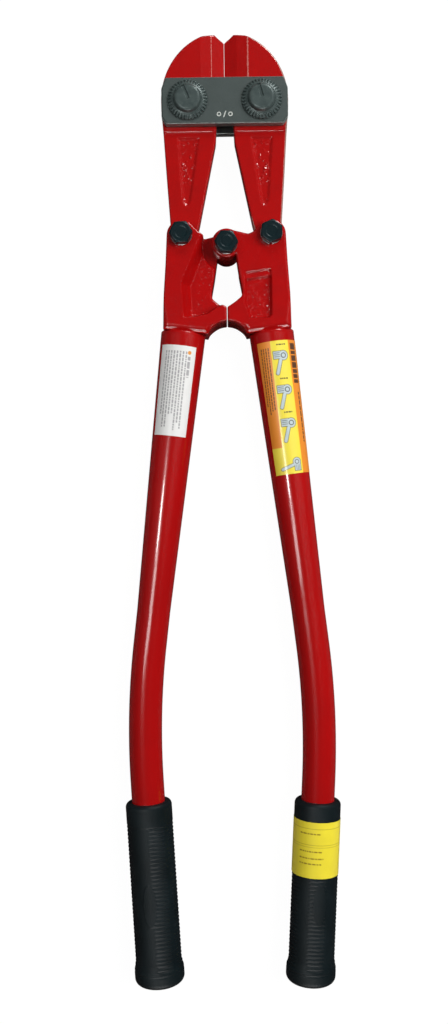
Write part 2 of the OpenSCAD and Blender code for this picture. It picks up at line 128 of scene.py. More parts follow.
def make_piece(name, points, faces, attributes=None, sharp=35.0, turned=False, mirrored=False):
    """Mesh object from millimetre points. turned lays it face down, mirrored flips it across the cut."""
    points = np.array(points, float)
    faces = [np.asarray(f) for f in faces]
    if turned:
        points = points * [-1, 1, -1]
    if mirrored:
        points = points * [-1, 1, 1]
        faces = [f[:, ::-1] for f in faces]
    mesh = bpy.data.meshes.new(name)
    mesh.from_pydata((points * MM + ORIGIN).tolist(), [], [r for f in faces for r in f.tolist()])
    for key, values in (attributes or {}).items():
        layer = mesh.attributes.new(key, "FLOAT", "POINT")
        layer.data.foreach_set("value", np.asarray(values, np.float32))
    mesh.shade_smooth()
    mesh.set_sharp_from_angle(angle=math.radians(sharp))
    obj = bpy.data.objects.new(name, mesh)
    bpy.context.scene.collection.objects.link(obj)
    PIECES[name] = obj


def grid_faces(rows, cols, first=0):
    """Quads of a grid that closes round: each point with the next in its row and in the row above."""
    i, j = np.meshgrid(np.arange(rows - 1), np.arange(cols), indexing="ij")
    a, b = i * cols + j, i * cols + (j + 1) % cols
    return (np.stack([a, b, b + cols, a + cols], -1) + first).reshape(-1, 4)


def closed_grid(points):
    """Points and faces of a closed-round grid with a pole in the middle of each end."""
    rows, cols = points.shape[:2]
    flat = points.reshape(-1, 3)
    poles = np.array([points[0].mean(0), points[-1].mean(0)])
    j = np.arange(cols)
    nxt = (j + 1) % cols
    bottom = np.stack([np.full(cols, len(flat)), nxt, j], -1)
    last = (rows - 1) * cols
    top = np.stack([np.full(cols, len(flat) + 1), last + j, last + nxt], -1)
    return np.vstack([flat, poles]), [grid_faces(rows, cols), bottom, top]


def with_poles(values):
    """A value for each grid point, with the mean of the first and last rows for the poles."""
    return np.concatenate([values.ravel(), [values[0].mean(), values[-1].mean()]])


def resample(loop, step):
    """Points at equal spacing along a closed loop: its length is measured and divided evenly."""
    loop = np.array(loop, float)
    ring = np.vstack([loop, loop[:1]])
    run = np.concatenate([[0], np.cumsum(np.linalg.norm(np.diff(ring, axis=0), axis=1))])
    count = int(run[-1] / step)
    at = np.linspace(0, run[-1], count, endpoint=False)
    return np.stack([np.interp(at, run, ring[:, k]) for k in (0, 1)], -1)


def rounded(loop, step, blur):
    """Even loop with its corners rounded: each point becomes a bell-weighted mean of its neighbours."""
    pts = resample(loop, step)
    reach = int(3 * blur / step) + 1
    weights = np.exp(-0.5 * (np.arange(-reach, reach + 1) * step / blur) ** 2)
    weights /= weights.sum()
    return sum(w * np.roll(pts, -k, axis=0) for k, w in zip(range(-reach, reach + 1), weights))


def circle(centre, radius, count=72):
    """Points round a circle: the cosine and sine of even angles."""
    a = np.linspace(0, 2 * np.pi, count, endpoint=False)
    return np.stack([centre[0] + radius * np.cos(a), centre[1] + radius * np.sin(a)], -1)


def distance_to(points, loop, block=4000):
    """Shortest distance from each point to a closed loop of straight pieces."""
    a, b = loop, np.roll(loop, -1, axis=0)
    run = b - a
    length2 = (run**2).sum(1) + 1e-12
    out = [np.zeros(0)]
    for start in range(0, len(points), block):
        p = points[start : start + block, None]
        t = np.clip(((p - a) * run).sum(2) / length2, 0, 1)
        out.append(np.sqrt((((p - a - t[..., None] * run)) ** 2).sum(2)).min(1))
    return np.concatenate(out)


def inside(points, loop):
    """True for points inside a closed loop: a ray to the right crosses it an odd number of times."""
    x, y = points[:, 0], points[:, 1]
    hit = np.zeros(len(points), bool)
    for (x0, y0), (x1, y1) in zip(loop, np.roll(loop, -1, axis=0)):
        if y0 != y1:
            crosses = (y0 > y) != (y1 > y)
            hit ^= crosses & (x < (x1 - x0) * (y - y0) / (y1 - y0) + x0)
    return hit


# Shares of a lattice step: rise from row to row, and least room from the rings and for line points.
ROW_RISE, RING_ROOM, LINE_ROOM = 0.87, 0.55, 0.3


def fill(loops, step, rings=(), lines=()):
    """Triangles over the area inside the first loop and outside the others, with an even
    lattice of inner points, extra points at the given distances from the edges, and extra
    points on the given lines. Returns points, triangles and each point's distance to the edge."""
    outer = loops[0]
    low, high = outer.min(0), outer.max(0)
    xs, ys = np.arange(low[0], high[0], step), np.arange(low[1], high[1], step * ROW_RISE)
    gx, gy = np.meshgrid(xs, ys, indexing="ij")
    gx = gx + (np.arange(len(ys)) % 2) * step / 2
    lattice = np.stack([gx.ravel(), gy.ravel()], -1)
    sets = [(lattice, None)]
    for loop in loops:
        normal = np.roll(loop, -1, axis=0) - np.roll(loop, 1, axis=0)
        normal = np.stack([-normal[:, 1], normal[:, 0]], -1)
        normal /= np.linalg.norm(normal, axis=1)[:, None] + 1e-12
        for d in rings:
            sets += [(loop + s * d * normal, d) for s in (-1, 1)]
    sets += [(np.array(line, float), -1) for line in lines]
    keep, margin = [], max(rings, default=0) + step * RING_ROOM
    for pts, d in sets:
        ok = inside(pts, outer)
        for hole in loops[1:]:
            ok &= ~inside(pts, hole)
        pts = pts[ok]
        near = np.min([distance_to(pts, loop) for loop in loops], axis=0)
        if d is None:
            pts = pts[near > margin]
        elif d < 0:
            pts = pts[near > step * LINE_ROOM]
        else:
            pts = pts[near > d - 0.02]
        keep.append(pts)
    inner = np.vstack(keep)
    flat = np.vstack([*loops, inner])
    edges, first = [], 0
    for loop in loops:
        index = np.arange(len(loop))
        edges += np.stack([first + index, first + (index + 1) % len(loop)], -1).tolist()
        first += len(loop)
    verts, _, faces, *_ = delaunay_2d_cdt([Vector(p) for p in flat], edges, [], 0, 1e-5)
    verts, tris = np.array(verts, float), np.array(faces)
    centre = verts[tris].mean(1)
    ok = inside(centre, outer)
    for hole in loops[1:]:
        ok &= ~inside(centre, hole)
    tris = tris[ok]
    edge = np.min([distance_to(verts, loop) for loop in loops], axis=0)
    edge[edge < 1e-4] = 0
    return verts, tris, edge


def relief(loops, step, top, bottom, rings=(0.12, 0.35, 0.7, 1.1), lines=()):
    """Closed solid over a filled outline. top and bottom give the height of each point from its
    place and its distance to the edge. The rim is walled between the two surfaces."""
    flat, tris, edge = fill(loops, step, rings, lines)
    used, tris = np.unique(tris, return_inverse=True)
    tris = tris.reshape(-1, 3)
    flat, edge = flat[used], edge[used]
    count = len(flat)
    up = np.column_stack([flat, top(flat, edge)])
    down = np.column_stack([flat, bottom(flat, edge)])
    area = np.cross(flat[tris[:, 1]] - flat[tris[:, 0]], flat[tris[:, 2]] - flat[tris[:, 0]])
    tris[area < 0] = tris[area < 0][:, ::-1]
    pairs = np.vstack([tris[:, [0, 1]], tris[:, [1, 2]], tris[:, [2, 0]]])
    key, back = pairs[:, 0] * count + pairs[:, 1], pairs[:, 1] * count + pairs[:, 0]
    rim = pairs[~np.isin(key, back)]
    wall = np.stack([rim[:, 0], rim[:, 0] + count, rim[:, 1] + count, rim[:, 1]], -1)
    faces = [tris, tris[:, ::-1] + count, wall]
    return np.vstack([up, down]), faces, np.concatenate([edge, edge])


def merge(parts):
    """Several point-and-face sets as one: the faces of each count on from the points before it."""
    points, faces, first = [], [], 0
    for pts, fcs in parts:
        points.append(pts)
        faces += [np.asarray(f) + first for f in fcs]
        first += len(pts)
    return np.vstack(points), faces


HILL_COUNT = 64
HILLS = np.random.default_rng(7).random((HILL_COUNT, HILL_COUNT)) * 2 - 1


def soft_noise(points, scale, seed=0.0):
    """Smooth unevenness from -1 to 1: random heights on a lattice of the given size in
    millimetres, blended between its corners with a soft step."""
    place = points[:, :2] / scale + 20 + seed
    cell = np.floor(place).astype(int)
    t = smoothstep(0, 1, place - cell)
    i, j = cell[:, 0] % HILL_COUNT, cell[:, 1] % HILL_COUNT
    i2, j2 = (i + 1) % HILL_COUNT, (j + 1) % HILL_COUNT
    low = HILLS[i, j] * (1 - t[:, 0]) + HILLS[i2, j] * t[:, 0]
    high = HILLS[i, j2] * (1 - t[:, 0]) + HILLS[i2, j2] * t[:, 0]
    return low * (1 - t[:, 1]) + high * t[:, 1]


def round_over(edge, radius):
    """Drop of a rounded edge: a quarter circle that starts the given radius in from the rim."""
    t = np.clip(1 - edge / radius, 0, 1)
    return radius * (1 - np.sqrt(1 - t * t))


print("helpers ready")

# %% [markdown]
# ## Jaws
# Each jaw is a drop forging, ground at the blades. Two flat bevels run from the head's full
# thickness down to the cutting edge, and the shank has a shallow rough pocket between two ribs.
# A boolean model would give the planes but no soft forged edges. A filled outline whose height
# is worked out at each point gives the bevels, the rounded rim and the cast skin in one surface.
# Extra points lie along both bevel ridges, so that these stay crisp.

# %% Jaws
NOTCH_HALF, NOTCH_DEPTH = 6.0, 3.4
RIDGE_1, RIDGE_2 = 8.1, 15.0
RIDGE_1_LEVEL = 0.69 * JAW_HALF
BLADE_EDGE, BLADE_GAP = 0.5, 0.1
FORGING_STEP = 0.62
BLADE_ROOT = PIVOT[1] + 6.5
HUB_FOOT = PLATE_LOW - 2.6
SHANK_HALF = 5.2
SHANK_POCKET = 1.1
TAIL_R = 8.6
BOLT_R = 4.0
JOURNAL_R = 8.0
BORE_FIT, BORE_POINTS = 0.1, 48
LINK_BORE = circle(LINK, BOLT_R + BORE_FIT, BORE_POINTS)
HEAD_MID = PIVOT[1] + 3.4


def jaw_outline():
    """Right jaw: notch, round head, outer side of the shank, tail, inner side, blade."""
    tip = math.acos(2.2 * NOTCH_HALF / HEAD_HALF)
    rise = (TIP_Y - HEAD_MID) / math.sin(tip)
    a = np.linspace(tip, 0, 40)
    head = np.stack([HEAD_HALF * np.cos(a), HEAD_MID + rise * np.sin(a)], -1)
    tail_x, tail_y = LINK
    shank = [
        (HEAD_HALF - 0.1, PIVOT[1] - 3), (HEAD_HALF - 1.2, HUB_FOOT),
        (HEAD_HALF - 3.2, HUB_FOOT - 32), (tail_x + TAIL_R * 0.8, tail_y + TAIL_R * 0.62),
        (tail_x + TAIL_R, tail_y), (tail_x + TAIL_R * 0.7, tail_y - TAIL_R * 0.7),
        (tail_x, tail_y - TAIL_R), (tail_x - TAIL_R * 0.7, tail_y - TAIL_R * 0.7),
        (tail_x - TAIL_R - 0.9, tail_y + 0.5), (tail_x - TAIL_R - 2.9, tail_y + 8.6),
        (NOTCH_HALF, HUB_FOOT - 6.5), (NOTCH_HALF - 0.8, HUB_FOOT + 6),
        (NOTCH_HALF - 2.4, BLADE_ROOT - 5), (BLADE_GAP + 1.2, BLADE_ROOT - 1),
    ]
    blade = [(BLADE_GAP, BLADE_ROOT), (BLADE_GAP, TIP_Y - NOTCH_DEPTH), (NOTCH_HALF, TIP_Y + TIP_RISE)]
    return rounded(np.vstack([head, shank, blade])[::-1], 0.4, 0.22)


def jaw_height(flat, edge):
    """Half thickness of a jaw: bevels above the blade root, full hub, thinner shank with a
    pocket, full tail, and a rounded rim everywhere but at the cutting edge."""
    x, y = flat[:, 0], flat[:, 1]
    bevel = np.interp(x, [0, RIDGE_1, RIDGE_2], [BLADE_EDGE, RIDGE_1_LEVEL, JAW_HALF])
    in_blade = smoothstep(BLADE_ROOT - 2.5, BLADE_ROOT, y)
    height = JAW_HALF + (bevel - JAW_HALF) * in_blade
    in_shank = 1 - smoothstep(HUB_FOOT - 1.1, HUB_FOOT, y)
    in_shank *= smoothstep(TAIL_R, TAIL_R + 1, np.linalg.norm(flat - LINK, axis=1))
    height -= (JAW_HALF - SHANK_HALF) * in_shank
    pocket = np.array([
        (NOTCH_HALF + 9.5, HUB_FOOT - 3), (HEAD_HALF - 9.5, HUB_FOOT - 3),
        (LINK[0] - 0.2, LINK[1] + 23), (LINK[0] - 2.6, LINK[1] + 19.5),
        (LINK[0] - 4.8, LINK[1] + 19.5), (LINK[0] - 6.6, LINK[1] + 23),
    ])
    depth = np.where(inside(flat, pocket), distance_to(flat, pocket), 0)
    well = smoothstep(0, 2.4, depth)
    patches = smoothstep(-0.4, 0.2, soft_noise(flat, 9.0, 1.0))
    dots = np.clip(soft_noise(flat, 1.3) - 0.25, 0, 1) * patches
    height -= well * (SHANK_POCKET - 0.9 * dots)
    skin = 1 - in_blade * smoothstep(PLATE_HIGH - 6, PLATE_HIGH - 4, y)
    height -= 0.03 * skin * np.abs(soft_noise(flat, 2.6, 5.0))
    ground = in_blade * (1 - smoothstep(1.5, 4.0, x))
    return height - round_over(edge, 1.1) * (1 - ground)


def ridge_line(x, low, high):
    """Pairs of points just either side of a ridge that runs up the blade."""
    y = np.arange(low, high, 0.45)
    return np.vstack([np.stack([np.full(len(y), x + s), y], -1) for s in (-0.1, 0.1)])


JAW_SIDE = relief(
    [jaw_outline(), circle(PIVOT, JOURNAL_R + BORE_FIT), LINK_BORE], FORGING_STEP,
    jaw_height, lambda flat, edge: -jaw_height(flat, edge),
    lines=[ridge_line(x, BLADE_ROOT, TIP_Y) for x in (RIDGE_1, RIDGE_2)],
)
for side, flipped in (("right", False), ("left", True)):
    pts, faces, edge = JAW_SIDE
    # The pale ridge line is worn paint on the sharp ridge and also a painted highlight: it runs on the
    # ridge that catches the light, the inner one on the left jaw and the outer one on the right.
    worn_and_highlit_ridge, closeness, worn_side = (RIDGE_1, 1.0, 0) if flipped else (RIDGE_2, 0.55, 1)
    off_blade = 1 - smoothstep(BLADE_ROOT, BLADE_ROOT + 1, pts[:, 1])
    outer = worn_side * smoothstep(RIDGE_2, RIDGE_2 + 3, pts[:, 0])
    ridge = closeness * np.abs(pts[:, 0] - worn_and_highlit_ridge) + 5 * off_blade
    marks = {"rim": edge - 0.9 * outer, "ridge": ridge}
    make_piece(side + "_jaw_forging", pts, faces, marks, sharp=28, mirrored=flipped)
print("jaw points", len(JAW_SIDE[0]))

# %% [markdown]
# ## Side plates
# The two plates are cut from flat bar, with their edges broken by a small chamfer, and darkened
# in a phosphate bath. A small sign is stamped into the front plate between the bolts. Here it
# is only two rings and a slash, which name nothing.

# %% Side plates
PLATE_SIDE = HEAD_HALF - 0.6
LAND_FRONT, LAND_REAR = 8.9, 7.0
STAMP_UP, RING_OUT, RING_R, SLASH_HALF = 5.6, 3.6, 1.1, 1.8
STAMP_DEPTH, STAMP_STEP = 0.2, 0.22


def plate_outline():
    """Plate with small corners: half of it listed from the bottom up, then mirrored."""
    half = [
        (PLATE_SIDE - 3, PLATE_LOW), (PLATE_SIDE, PLATE_LOW + 4),
        (PLATE_SIDE, PLATE_HIGH - 6.9), (PLATE_SIDE - 2.6, PLATE_HIGH),
    ]
    return rounded(half + [(-x, y) for x, y in half[::-1]], 0.6, 0.5)


def stamp_distance(flat):
    """Distance in millimetres from the lines of the stamped sign: two rings and a slash."""
    x, y = flat[:, 0], flat[:, 1] - (PLATE_LOW + STAMP_UP)
    ring = np.abs(np.hypot(np.abs(x) - RING_OUT, y) - RING_R)
    slash = np.abs(x * 0.94 - y * 0.34) + np.clip(np.abs(y) - SLASH_HALF, 0, 9)
    return np.minimum(ring, slash)


def stamp_lines():
    """Points close together over the stamped sign, so that it reads sharply."""
    gx, gy = np.meshgrid(np.arange(-5.6, 5.6, STAMP_STEP), np.arange(-2.4, 2.4, STAMP_STEP))
    return np.stack([gx.ravel(), gy.ravel() + PLATE_LOW + STAMP_UP], -1)


def plate(name, land, level_out, level_in):
    """Plate between two levels with two bolt holes. The outer face has the wider chamfer,
    and the front plate has the sign stamped into it."""
    holes = [circle((s * PIVOT[0], PIVOT[1] + BOLT_OFFSET), land + 0.12) for s in (1, -1)]
    front = level_out > level_in

    def outer(flat, edge):
        drop = 0.8 * np.clip(0.9 - edge, 0, 0.9)
        if front:
            drop += STAMP_DEPTH * (1 - smoothstep(0.25, 0.5, stamp_distance(flat)))
        return level_out - np.sign(level_out) * drop

    def inner(flat, edge):
        return level_in + np.sign(level_in) * np.clip(0.35 - edge, 0, 0.35)

    upper, lower = (outer, inner) if front else (inner, outer)
    lines = [stamp_lines()] if front else []
    pts, faces, edge = relief([plate_outline(), *holes], 1.0, upper, lower, (0.35, 0.9, 1.2), lines)
    unstamped = (pts[:, 2] < level_out - 1) | (not front)
    stamp = stamp_distance(pts) + 9 * unstamped
    make_piece(name, pts, faces, {"rim": edge, "stamp": stamp}, sharp=20)


plate("front_side_plate", LAND_FRONT, PLATE_OUT, PLATE_IN)
plate("rear_side_plate", LAND_REAR, -PLATE_OUT, -PLATE_IN)
print("plates", len(PIECES["front_side_plate"].data.vertices))

# %% [markdown]
# ## Turned parts
# Bolts, nuts and washers are turned about an axis. One profile, from the middle of the top
# face round to the middle of the bottom face, is carried round a full turn. A second radius
# limits each row to a hexagon where there is a head or a nut, and the chamfer comes free: the
# row takes the smaller of the hexagon and the profile's own circle.

# %% Turned parts
POLE_R = 0.05
CORNER_EASE, NUT_SLOPE = 1.135, 1.6


def dense(profile, step):
    """Profile with points added, so that no stretch is longer than the step; corners stay."""
    profile = np.array(profile, float)
    out = [profile[:1]]
    for a, b in zip(profile[:-1], profile[1:]):
        n = max(1, int(np.ceil(np.linalg.norm(b - a) / step)))
        out.append(a + (b - a) * np.linspace(1 / n, 1, n)[:, None])
    return np.vstack(out)


def hexagon(angle, across, turn):
    """Radius of a hexagon at each angle: half its width across flats over the cosine of the
    angle from the nearest flat's middle, with its corners eased."""
    a = (angle - math.radians(turn)) % (np.pi / 3) - np.pi / 6
    return np.minimum(across / 2 / np.cos(a), across / 2 * CORNER_EASE)


def carried_round(centre, section, count, shape):
    """Points of a section carried round an upright axis. shape may change radius and height."""
    angle = np.linspace(0, 2 * np.pi, count, endpoint=False)
    r = np.repeat(section[:, :1], count, 1)
    z = np.repeat(section[:, 1:], count, 1)
    a = np.repeat(angle[None], len(section), 0)
    if shape:
        r, z = shape(r, z, a)
    return np.stack([centre[0] + r * np.cos(a), centre[1] + r * np.sin(a), z], -1)


def turned_part(name, centre, profile, count, shape, step, mirrored=False):
    """Solid turned part. Its rim value is small where the profile turns a corner."""
    rz = dense(profile, step)
    pts, faces = closed_grid(carried_round(centre, rz, count, shape)[::-1])
    slope = np.gradient(rz, axis=0)
    turn = np.abs(np.gradient(np.unwrap(np.arctan2(slope[:, 1], slope[:, 0]))))
    rim = with_poles(np.repeat(np.clip(1.2 - 1.2 * turn, 0, 1.2)[:, None], count, 1)[::-1])
    make_piece(name, pts, faces, {"rim": rim}, sharp=30, mirrored=mirrored)


def ring_part(name, centre, hole, outer, low, high, shape=None, mirrored=False, count=72):
    """Washer or nut: a closed ring whose section runs up the bore and down the outside."""
    c = min(0.35, (high - low) / 4)
    section = dense([
        (hole + c, low), (outer - c, low), (outer, low + c), (outer, high - c), (outer - c, high),
        (hole + c, high), (hole, high - c), (hole, low + c), (hole + c, low),
    ], 0.6)[:-1]
    points = carried_round(centre, section, count, shape)
    closed = np.concatenate([points, points[:1]])
    faces = grid_faces(len(closed), count)
    faces = np.where(faces >= len(section) * count, faces - len(section) * count, faces)
    z = points[..., 2]
    rim = np.minimum(np.minimum(z - low, high - z) + 0.1, 1.2)
    make_piece(name, points.reshape(-1, 3), [faces[:, ::-1]], {"rim": rim.ravel()}, 25,
               mirrored=mirrored)


def hex_shape(across, low, high, turn):
    """Limits rows between two levels to a hexagon."""
    def shape(r, z, a):
        inside_head = (z > low - 0.02) & (z < high + 0.02)
        return np.where(inside_head, np.minimum(r, hexagon(a, across, turn)), r), z
    return shape


def nut_shape(across, turn, ease):
    """Limits the outside of a nut to a hexagon, with its rear corners chamfered."""
    def shape(r, z, a):
        limit = np.minimum(hexagon(a, across, turn), across / 2 + ease + NUT_SLOPE * (z + REST))
        return np.where(r > across / 2 - 1, np.minimum(r, limit), r), z
    return shape


# %% [markdown]
# ## Jaw bolts
# A jaw bolt is an eccentric: turning its toothed flange moves the blade. The head is a cap
# with a flat face, a turned-down waist and 36 fine teeth. A groove across the face takes the
# adjusting tool.


# %% Jaw bolts, washers and nuts
FLANGE_R, KNOB_H, TEETH = 12.7, 5.8, 36
KNOB_FACE = FLANGE_R * 0.63
KNOB_TOP = PLATE_OUT + KNOB_H
JAW_THREAD_R, JAW_RING_R = 5.6, 5.65
JAW_NUT_AF, WASHER_T = 16.0, 1.2
JAW_BOLT = np.array([PIVOT[0], PIVOT[1] + BOLT_OFFSET])


def knob_shape(groove_turn, groove_end):
    """Teeth cut into the flange, and a groove in the top face from one side to past the middle."""
    def shape(r, z, a):
        on_flange = (r > KNOB_FACE + 1.6) & (z > PLATE_OUT + 0.25) & (z < PLATE_OUT + 3.2)
        tooth = smoothstep(-0.15, 0.5, np.cos(a * TEETH))
        depth = 0.95 * smoothstep(KNOB_FACE + 1.6, FLANGE_R - 0.8, r)
        z2 = np.where(on_flange, np.maximum(z - tooth * depth, PLATE_OUT + 0.25), z)
        r2 = np.where(on_flange, r - 0.45 * tooth * smoothstep(FLANGE_R - 1.2, FLANGE_R, r), r)
        turn = math.radians(groove_turn)
        along = r * np.cos(a - turn)
        across = np.abs(r * np.sin(a - turn))
        cut = (1 - smoothstep(0.75, 1.15, across)) * smoothstep(-groove_end, -groove_end + 0.5, along)
        on_face = (z > PLATE_OUT + KNOB_H - 1.2) & (r < KNOB_FACE + 0.5)
        return r2, np.where(on_face, z2 - 0.8 * cut, z2)
    return shape


knob_profile = [
    (POLE_R, KNOB_TOP), (KNOB_FACE - 1.5, KNOB_TOP), (KNOB_FACE - 0.5, KNOB_TOP - 0.3),
    (KNOB_FACE + 0.2, KNOB_TOP - 0.9), (KNOB_FACE + 0.5, KNOB_TOP - 1.6),
    (KNOB_FACE + 0.95, PLATE_OUT + 3.1), (KNOB_FACE + 1.7, PLATE_OUT + 2.75),
    (FLANGE_R - 1.9, PLATE_OUT + 2.3), (FLANGE_R - 0.3, PLATE_OUT + 1.4), (FLANGE_R, PLATE_OUT + 0.8),
    (FLANGE_R, PLATE_OUT + 0.25), (FLANGE_R - 0.3, PLATE_OUT), (LAND_FRONT, PLATE_OUT),
    (LAND_FRONT, PLATE_IN), (JOURNAL_R - BOLT_OFFSET, PLATE_IN), (LAND_REAR - 0.3, -PLATE_IN),
    (LAND_REAR, -PLATE_IN), (LAND_REAR, -PLATE_OUT), (JAW_THREAD_R, -PLATE_OUT),
    (JAW_THREAD_R, -REST + 0.7), (4.9, -REST), (POLE_R, -REST),
]
for side, flipped, groove, reach in (("left", True, 68, 1.5), ("right", False, 105, 0.5)):
    part = side + "_eccentric_"
    washer_low = -PLATE_OUT - WASHER_T
    turned_part(part + "bolt", JAW_BOLT, knob_profile, 288, knob_shape(groove, reach), 0.35, flipped)
    ring_part(part + "washer", JAW_BOLT, JAW_RING_R, JAW_NUT_AF / 2 + 1.4, washer_low, -PLATE_OUT,
              mirrored=flipped)
    ring_part(part + "nut", JAW_BOLT, JAW_RING_R, JAW_NUT_AF / 2 * 1.155, -REST, washer_low,
              nut_shape(JAW_NUT_AF, 0, 0.35), flipped, 144)

# %% [markdown]
# ## Link bolts
# Two link bolts and the centre bolt are plain hexagon bolts with black oxide, over zinc
# washers, with nuts behind. Each head stands at its own angle, as it was left after tightening.

# %% Link bolts, washers and nuts
HEX_AF, HEX_HEAD_H, FRONT_WASHER_R, REAR_WASHER_R = 13.0, 5.4, 7.0, 8.4
HEX_CORNER, LINK_RING_R = HEX_AF / 2 * CORNER_EASE, 4.05
SEAT = FORK_HALF + WASHER_T
HEAD_TOP = SEAT + HEX_HEAD_H
PLACES = {"left_link": (-LINK[0], LINK[1]), "centre": (0.0, 0.0), "right_link": tuple(LINK)}
HEAD_TURNS = {"left_link": 3, "centre": -2, "right_link": 24}
NUT_TURNS = {"left_link": 11, "centre": 6, "right_link": -18}
hex_profile = [
    (POLE_R, HEAD_TOP - 0.25), (3.4, HEAD_TOP - 0.25), (3.9, HEAD_TOP), (HEX_AF / 2 - 0.6, HEAD_TOP),
    (HEX_AF / 2 - 0.15, HEAD_TOP - 0.22), (HEX_CORNER + 0.05, HEAD_TOP - 0.85),
    (HEX_CORNER + 0.05, SEAT + 0.3), (HEX_AF / 2 - 0.2, SEAT), (BOLT_R, SEAT),
    (BOLT_R, -REST + 0.6), (3.4, -REST), (POLE_R, -REST),
]
for key, centre in PLACES.items():
    turned_part(key + "_hex_bolt", centre, hex_profile, 144,
                hex_shape(HEX_AF, SEAT, HEAD_TOP, HEAD_TURNS[key]), 0.45)
    ring_part(key + "_front_ring", centre, LINK_RING_R, FRONT_WASHER_R, FORK_HALF, SEAT)
    ring_part(key + "_rear_ring", centre, LINK_RING_R, REAR_WASHER_R, -SEAT, -FORK_HALF)
    ring_part(key + "_hex_nut", centre, LINK_RING_R, HEX_CORNER, -REST, -SEAT,
              nut_shape(HEX_AF, NUT_TURNS[key], 0.3), count=144)
print("turned parts", len(PIECES) - 4)

# %% [markdown]
# ## Forged handle ends
# Both handle ends are the same forging, and the left one lies face down. One side has a closed
# pocket, and carries the boss of the centre bolt. The other side has an open recess that a long
# ramp leads into, and is cut back to half the thickness round the centre bolt, so that the two
# lap. The left one has a short slot for the centre bolt, which slides in it as the handles
# open. A fork takes the jaw tail. The forging is made as two reliefs, one each side of its
# parting line, since each has its own outline round the centre bolt.

# %% Handle ends
TUBE_TOP = np.array([28.1, -54.3])
LEAN = math.radians(6.85)
TUBE_TOP_R = 14.2
DOWN_TUBE = np.array([math.sin(LEAN), -math.cos(LEAN)])
ACROSS_TUBE = np.array([math.cos(LEAN), math.sin(LEAN)])
EAR_R, BOSS_R, BOSS_DROP, LAP_R, LAP_GAP = 9.2, 9.2, -0.5, 15.5, 0.2
STOP_TOP, STOP_LOW, STOP_GAP = -39.6, -48.4, 0.2
ARCH_R = 13.5
RECESS, POCKET = 8.5, 3.2


def arc(centre, radius, start, end, count=24):
    """Points on an arc between two angles in degrees."""
    a = np.radians(np.linspace(start, end, count))
    return np.stack([centre[0] + radius * np.cos(a), centre[1] + radius * np.sin(a)], -1)


def handle_end_outline(with_boss):
    """Right handle end: stop, inner edge, boss or lap cut, link boss, outer edge, shoulder, arch."""
    inner = [(STOP_GAP, STOP_LOW), (STOP_GAP, STOP_TOP), (5, -36.5), (9.2, -33), (9.7, -29.6), (7.6, -18.1)]
    if with_boss:
        centre = arc((0, -BOSS_DROP), BOSS_R, -50, -300, 60)
        upper = [(13.8, 6.2), (17.1, 7.6)]
    else:
        centre = arc((0, 0), LAP_R, -61, 23)
        upper = [(17.1, 7.6)]
    ear = arc(LINK, EAR_R, 135, 0)
    outer = [(38.4, -11.4), (39.8, -31)]
    shoulder = [TUBE_TOP + 12.6 * ACROSS_TUBE, TUBE_TOP - 13.9 * ACROSS_TUBE]
    arch = arc((0, STOP_LOW - ARCH_R), ARCH_R, 24, 87)
    return rounded(np.vstack([inner, centre, upper, ear, outer, shoulder, arch]), 0.5, 0.5)


FORK_SLOT = np.array([(15.1, 30), (15.1, 7), (17.5, -1.4), (20.1, -3.4), (60, -3.4), (60, 30)])
POCKET_EDGE = np.array([
    (10.8, -17.8), (26.9, -15.6), (28.5, -17.6), (28.5, -45.4), (26.5, -47.2), (14.6, -47.2),
    (10.8, -37.6), (11.2, -29.6),
])
RECESS_RAMP = np.array([(12.6, 14.0), (28.8, -23.9), (27.4, -48.5), (-30, -48.5), (-30, 14.0)])
RECESS_WALL = np.array([
    (60, 30), (60, -46.2), (20.5, -46.2), (12, -44.3), (7, -41), (3, -38.8), (-30, -33), (-30, 30),
])


def skin_height(flat, edge, depth):
    """Height of a forged face: full, less a pocket, with a rounded rim and a faint cast skin.
    The rim's radius grows towards the shoulder, where the section comes close to the tube's."""
    from_top = (flat - TUBE_TOP) @ DOWN_TUBE
    radius = 1.4 + 2.6 * smoothstep(-16, -2, from_top) * smoothstep(8, 12, flat[:, 0])
    near_tube = 1 - smoothstep(0.0, 0.9, -from_top)
    skin = 0.05 * np.abs(soft_noise(flat, 3.0, 3.0))
    return FORK_HALF - depth - round_over(edge, radius) * (1 - near_tube) - 1.2 * near_tube - skin


def pocket_depth(flat):
    """Closed pocket: a step and then the floor, with a lumpy cast skin."""
    deep = np.where(inside(flat, POCKET_EDGE), distance_to(flat, POCKET_EDGE), 0)
    from_top = np.clip((-15.6 - (28.0 - flat[:, 0]) * 0.13) - flat[:, 1], 0, 50)
    stepped = 0.45 + 0.55 * smoothstep(4.2, 5.6, from_top)
    lumps = 0.2 * soft_noise(flat, 2.2, 9.0) - 0.5 * np.clip(soft_noise(flat, 1.1, 4.0) - 0.3, 0, 1)
    return smoothstep(0, 1.6, deep) * (POCKET * stepped + lumps)


def recess_depth(flat):
    """Open recess: the lesser of a long ramp from its border and a short wall along its foot."""
    ramp = np.where(inside(flat, RECESS_RAMP), distance_to(flat, RECESS_RAMP), 0)
    wall = np.where(inside(flat, RECESS_WALL), distance_to(flat, RECESS_WALL), 0)
    cut = np.minimum(smoothstep(-0.6, 6.0, ramp) * (ramp > 0), smoothstep(0, 2.6, wall))
    patches = smoothstep(-0.2, 0.3, soft_noise(flat, 8.0, 3.0))
    dots = np.clip(soft_noise(flat, 1.2, 6.0) - 0.3, 0, 1) * patches
    return cut * (RECESS - 0.6 * dots * smoothstep(0.7, 1, cut))


def slot_outline(half, radius, turn):
    """Round-ended slot through the middle, its length turned clockwise from across the tool."""
    turn = math.radians(turn)
    right, left = [circle((s * half, 0), radius, BORE_POINTS) for s in (1, -1)]
    kept = np.vstack([right[right[:, 0] >= half], left[left[:, 0] <= -half]])
    kept = kept[np.argsort(np.arctan2(kept[:, 1], kept[:, 0]))]
    spin = np.array([[math.cos(turn), -math.sin(turn)], [math.sin(turn), math.cos(turn)]])
    return kept @ spin


